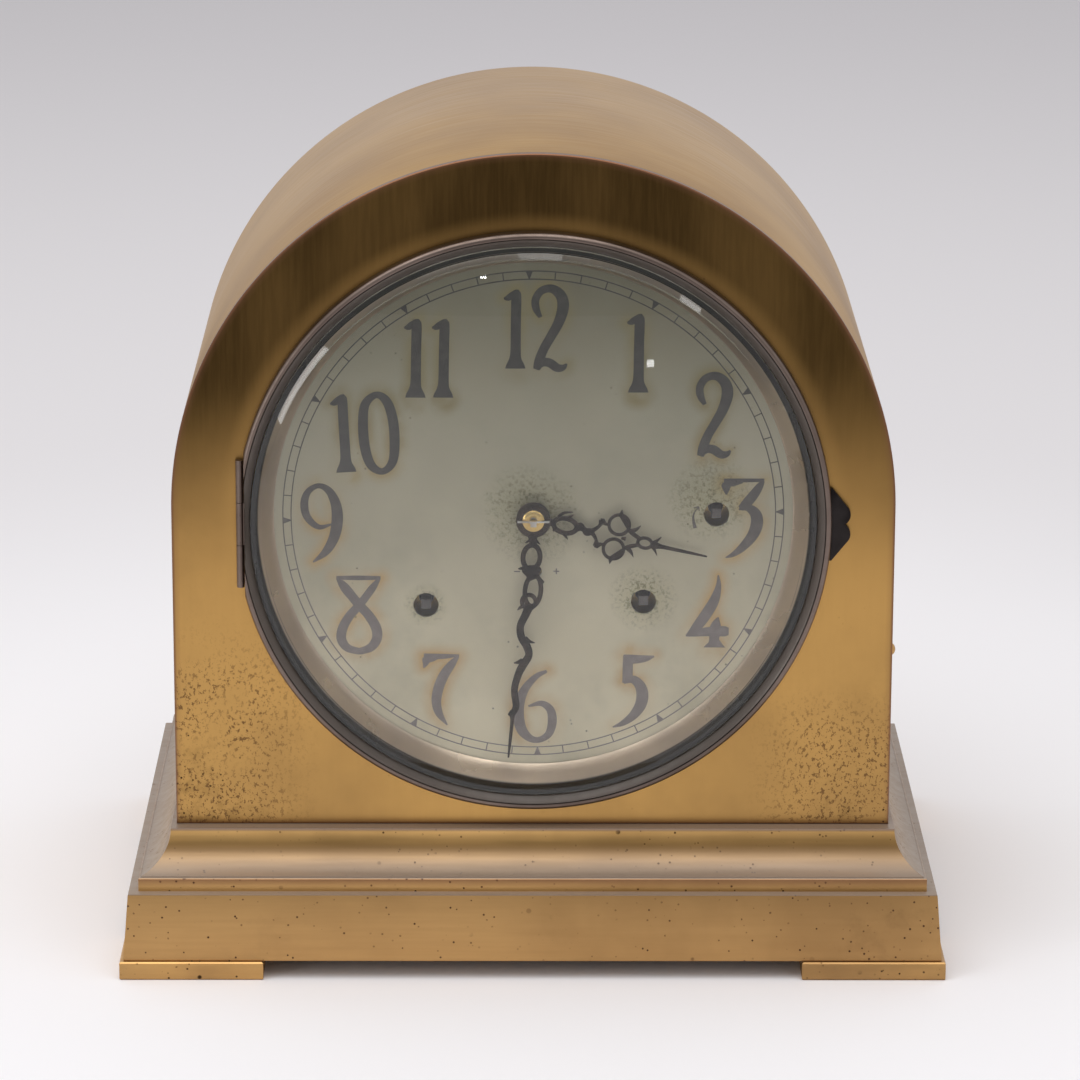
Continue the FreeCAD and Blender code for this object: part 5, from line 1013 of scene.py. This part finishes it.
# The first paint is more painted shade, which darkens the top of the dial.
for share, paint in ((silvered.fade(height, 0.19, 0.27), (0.19, 0.172, 0.108)),
                     (clouds, (0.30, 0.30, 0.22)), (ochre, ochre_paint),
                     (silvered.both(silvered.mark("wear"), specks, 0.85), (0.07, 0.065, 0.03)),
                     (silvered.both(silvered.mark("wear"), 0.35), (0.30, 0.27, 0.10)),
                     (freckles, (0.12, 0.10, 0.06))):
    cream = silvered.mix(share, cream, paint)
silvered.set("Base Color", cream)
silvered.set("Roughness", silvered.fade(silvered.noise(35.0, 4.0), 0.3, 0.7, 0.38, 0.56))
points = np.column_stack([flat[:, 0], np.full(len(flat), FACE), flat[:, 1] + DIAL_HEIGHT])
dial = piece("dial_sheet", (points, cells[keep][:, ::-1]), "case",
             silvered.material, ["dial_plate"], {"halo": halo, "wear": wear})
towards_front = dial.data.polygons[0].normal.y < 0
thick = dial.modifiers.new("thickness", "SOLIDIFY")
thick.thickness, thick.offset = (dial_high[1] - dial_low[1]) * MM, -1.0 if towards_front else 1.0
print("dial faces look to the front:", towards_front)

# %% [markdown]
# Both hands are pierced steel. Each one is a boss, then rings, loops and little thorns, and
# ends in a thin spear. The points below are places across and along the hand in millimetres,
# with the width of the bar there, for a hand that points up. The hour hand is the same on both
# sides, so one side is drawn and mirrored.

# %% Strokes of the hour hand
HOUR_LOOPS = [oval(0, 0, 4.65, 4.65, 3.1, 20), oval(11.9, 0, 4.3, 2.75, 1.7),
              oval(31.1, -4.7, 3.75, 3.75, 1.15), oval(31.1, 4.7, 3.75, 3.75, 1.15),
              oval(41.8, 0, 2.6, 1.9, 1.15)]
HOUR_SIDES = [[(0, 21.6, 1.8), (1.5, 23.2, 1.3), (2.9, 24.2, 1.2), (4.8, 24.6, 2.4)],
              [(4.8, 24.6, 2.4), (3.9, 26.4, 1.1), (4.3, 27.8, 1.2)],
              [(4.75, 24.0, 1.6), (4.9, 25.4, 1.6)],
              [(4.7, 34.6, 1.8), (7.6, 31.6, 1.4), (8.7, 31.0, 1.6), (10.5, 30.9, 0.15)],
              [(3.8, 34.4, 1.4), (2.4, 36.9, 1.5), (1.3, 39.5, 1.3)],
              [(3.0, 35.6, 1.8), (4.4, 37.6, 1.2), (6.1, 38.9, 0.15)],
              [(0.6, 44.6, 1.4), (1.9, 46.0, 0.9), (3.6, 47.2, 0.15)],
              [(2.2, 11.2, 1.4), (3.6, 12.7, 1.1), (4.8, 14.0, 0.15)]]
HOUR_SPINE = [[(0, 5.4, 3.6), (0, 7.2, 2.2), (0, 8.4, 2.6)],
              [(-2.8, 8.6, 0.9), (-4.7, 10.6, 0.9), (-5.7, 13.6, 0.15)],
              [(1.4, 9.0, 1.4), (2.8, 8.0, 0.8)],
              [(0, 15.6, 2.4), (-0.7, 17.3, 3.3), (-0.2, 18.8, 2.0), (0.5, 20.2, 2.9),
               (0, 21.8, 2.4)],
              [(0, 34.6, 1.4), (0, 33.0, 1.0)],
              [(0, 38.6, 2.6), (0, 39.8, 1.6)],
              [(0, 43.8, 1.9), (0, 46.0, 2.5), (0, 48.5, 1.5), (0, 56.0, 1.15), (0, 64.4, 0.6),
               (0, 64.9, 0.2)]]
print("hour hand", len(HOUR_LOOPS), "loops")

# %% [markdown]
# The minute hand is longer, slimmer and wavy, and its thorns differ from side to side.

# %% Strokes of the minute hand
MINUTE_LOOPS = [oval(0, 0, 4.3, 4.3, 4.0, 20), oval(13.8, -0.7, 4.6, 3.1, 1.8),
                oval(26.4, -2.5, 5.9, 2.9, 1.7), oval(30.7, -1.4, 2.6, 2.5, 1.5)]
MINUTE_SPINE = [[(-0.2, 5.4, 3.8), (-0.6, 7.4, 2.8), (-0.7, 9.6, 3.2)],
                [(0.3, 7.2, 1.0), (1.2, 7.9, 0.7), (2.2, 8.6, 0.1)],
                [(-1.6, 7.2, 1.0), (-2.4, 7.9, 0.7), (-3.4, 8.6, 0.1)],
                [(-0.9, 16.9, 4.4), (-1.2, 18.6, 7.0), (-1.7, 20.6, 4.4), (-2.4, 22.0, 3.6)],
                [(1.2, 18.0, 1.8), (2.6, 18.4, 1.0), (3.8, 18.6, 0.1)],
                [(-4.6, 22.0, 1.5), (-6.1, 22.9, 0.8)],
                [(0.4, 32.4, 1.5), (1.4, 33.2, 1.1), (2.4, 34.2, 0.2)],
                [(-1.8, 32.2, 3.4), (-0.7, 35.9, 2.9), (0.7, 40.3, 2.7), (-0.1, 44.4, 2.8),
                 (-2.5, 47.8, 2.9), (-3.5, 51.2, 2.7), (-1.8, 55.0, 3.0), (-0.4, 59.0, 2.7),
                 (0.4, 64.9, 2.5), (-0.8, 71.0, 2.5), (0.1, 74.2, 2.1), (0, 77.0, 1.4),
                 (0, 84.0, 1.15), (0, 90.4, 0.7), (0, 91.0, 0.2)],
                [(-1.4, 44.8, 2.0), (-3.2, 45.8, 1.2), (-5.2, 46.1, 0.1)],
                [(-1.4, 53.4, 2.0), (0.2, 54.2, 1.2), (1.7, 54.6, 0.1)],
                [(0.3, 73.4, 2.0), (1.5, 74.8, 1.0)]]
print("minute hand", len(MINUTE_LOOPS), "loops")

# %% [markdown]
# The hands are drawn at twelve and turned to the time in the photograph. The two CAD nodes say
# how far in front of the dial they stand, and each one rides on its own body.

# %% The hands at their time
def mirrored(stroke):
    """The stroke with its places across the hand turned over."""
    return [(-a, u, w) for a, u, w in stroke]


def hand(loops, strokes, clock_angle, node):
    """All ribbons of a hand, turned clockwise from twelve: x = u sin + a cos, z = u cos - a sin."""
    low, high = corners(node)
    parts = [ribbon(loop, high[1], low[1], closed=True) for loop in loops]
    parts += [ribbon(stroke, high[1], low[1]) for stroke in strokes]
    points, faces = together(parts)
    s, c = math.sin(math.radians(clock_angle)), math.cos(math.radians(clock_angle))
    across, up = points[:, 0].copy(), points[:, 2].copy()
    points[:, 0] = up * s + across * c
    points[:, 2] = DIAL_HEIGHT + up * c - across * s
    return points, faces


HOUR_ANGLE, MINUTE_ANGLE = 102.6, 185.7
hour_strokes = HOUR_SPINE + HOUR_SIDES + [mirrored(stroke) for stroke in HOUR_SIDES]
piece("hour_pointer", hand(HOUR_LOOPS, hour_strokes, HOUR_ANGLE, "hour_hand"), "hour_work",
      hand_metal, ["hour_hand"])
piece("minute_pointer", hand(MINUTE_LOOPS, MINUTE_SPINE, MINUTE_ANGLE, "minute_hand"),
      "minute_work", hand_metal, ["minute_hand"])

# %% [markdown]
# A small domed washer of brass holds both hands on their pipe.

# %% The washer
washer_low, washer_high = corners("hand_washer")
washer_profile = np.array([(1.5, washer_high[1]), (1.5, washer_low[1] + 0.1),
                           (2.2, washer_low[1]), (3.5, washer_low[1] + 0.12),
                           (4.0, washer_low[1] + 0.45), (4.0, washer_high[1])])
piece("domed_washer", shell(turned(washer_profile, DIAL_HEIGHT, steps=64), True), "minute_work",
      brass, ["hand_washer"])

# %% [markdown]
# The round-headed screw on the right side of the case is a small dome, turned about the X axis.

# %% Side screw
screw_low, screw_high = corners("side_screw")
head = (screw_high[2] - screw_low[2]) / 2
tall = screw_high[0] - screw_low[0]
t = np.linspace(0, math.pi / 2, 8)
dome_profile = np.vstack([[(0, 0)], np.column_stack([head * np.cos(t), tall * np.sin(t)])])
grid = turned(dome_profile, steps=32)
grid = np.stack([screw_low[0] + grid[..., 1], (screw_low[1] + screw_high[1]) / 2 + grid[..., 0],
                 (screw_low[2] + screw_high[2]) / 2 + grid[..., 2]], axis=-1)
piece("screw_head", shell(grid, True, False), "case", foot_bronze, ["side_screw"])

# %% [markdown]
# The solids that stay get the finish of their slot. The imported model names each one's slot
# as its material, so one table is enough.

# %% Finishes for the solids that stay
BY_SLOT = {"bronze": rear_bronze, "blackened_bronze": black_bronze, "glass": glass.material,
           "silvered_brass": ring_silver.material, "movement_brass": brass, "steel": steel,
           "hand_steel": hand_metal, "wood": oak.material, "cast_iron": iron}
# The winding squares take the dark steel, painted shade for their key holes.
OWN_FINISH = {"bezel_hinge_fixed": bezel_bronze, "bezel_hinge_leaf": bezel_bronze,
              **{name: key_hole_shade_steel for name in holes}}
for name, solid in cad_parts.items():
    slot_name = solid.material_slots[0].material.name.split(".")[0]
    solid.material_slots[0].material = OWN_FINISH.get(name, BY_SLOT[slot_name])
print("solids dressed", len(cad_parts))

# %% [markdown]
# The floor is a pale disc with a painted pool of light: its colour is brightest round the
# clock and falls off slowly with distance, as paper under a studio lamp does.

# %% The floor
FLOOR_RADIUS, FLOOR_STEPS = 8, 96
t = np.linspace(0, 2 * math.pi, FLOOR_STEPS, endpoint=False)
disc = FLOOR_RADIUS * np.column_stack([np.cos(t), np.sin(t), 0 * t])
floor_mesh = bpy.data.meshes.new("floor")
floor_mesh.from_pydata(disc.tolist(), [], [list(range(FLOOR_STEPS))])
floor = bpy.data.objects.new("floor", floor_mesh)
bpy.context.scene.collection.objects.link(floor)
paper = Finish("paper", (0.85, 0.85, 0.87), 0.0, 0.9)
far = paper.step("ShaderNodeVectorMath", {0: paper.place}, 1, operation="LENGTH")
# Painted pool of light: the colour fades from pale near the clock to grey far off.
near = paper.mix(paper.fade(far, 0.25, 0.75), (0.93, 0.915, 0.93), (0.79, 0.765, 0.775))
paper.set("Base Color", paper.mix(paper.fade(far, 0.7, 2.6), near, (0.66, 0.635, 0.65)))
floor_mesh.materials.append(paper.material)
print("floor laid")

# %% [markdown]

# %% The end
print("dressing done")
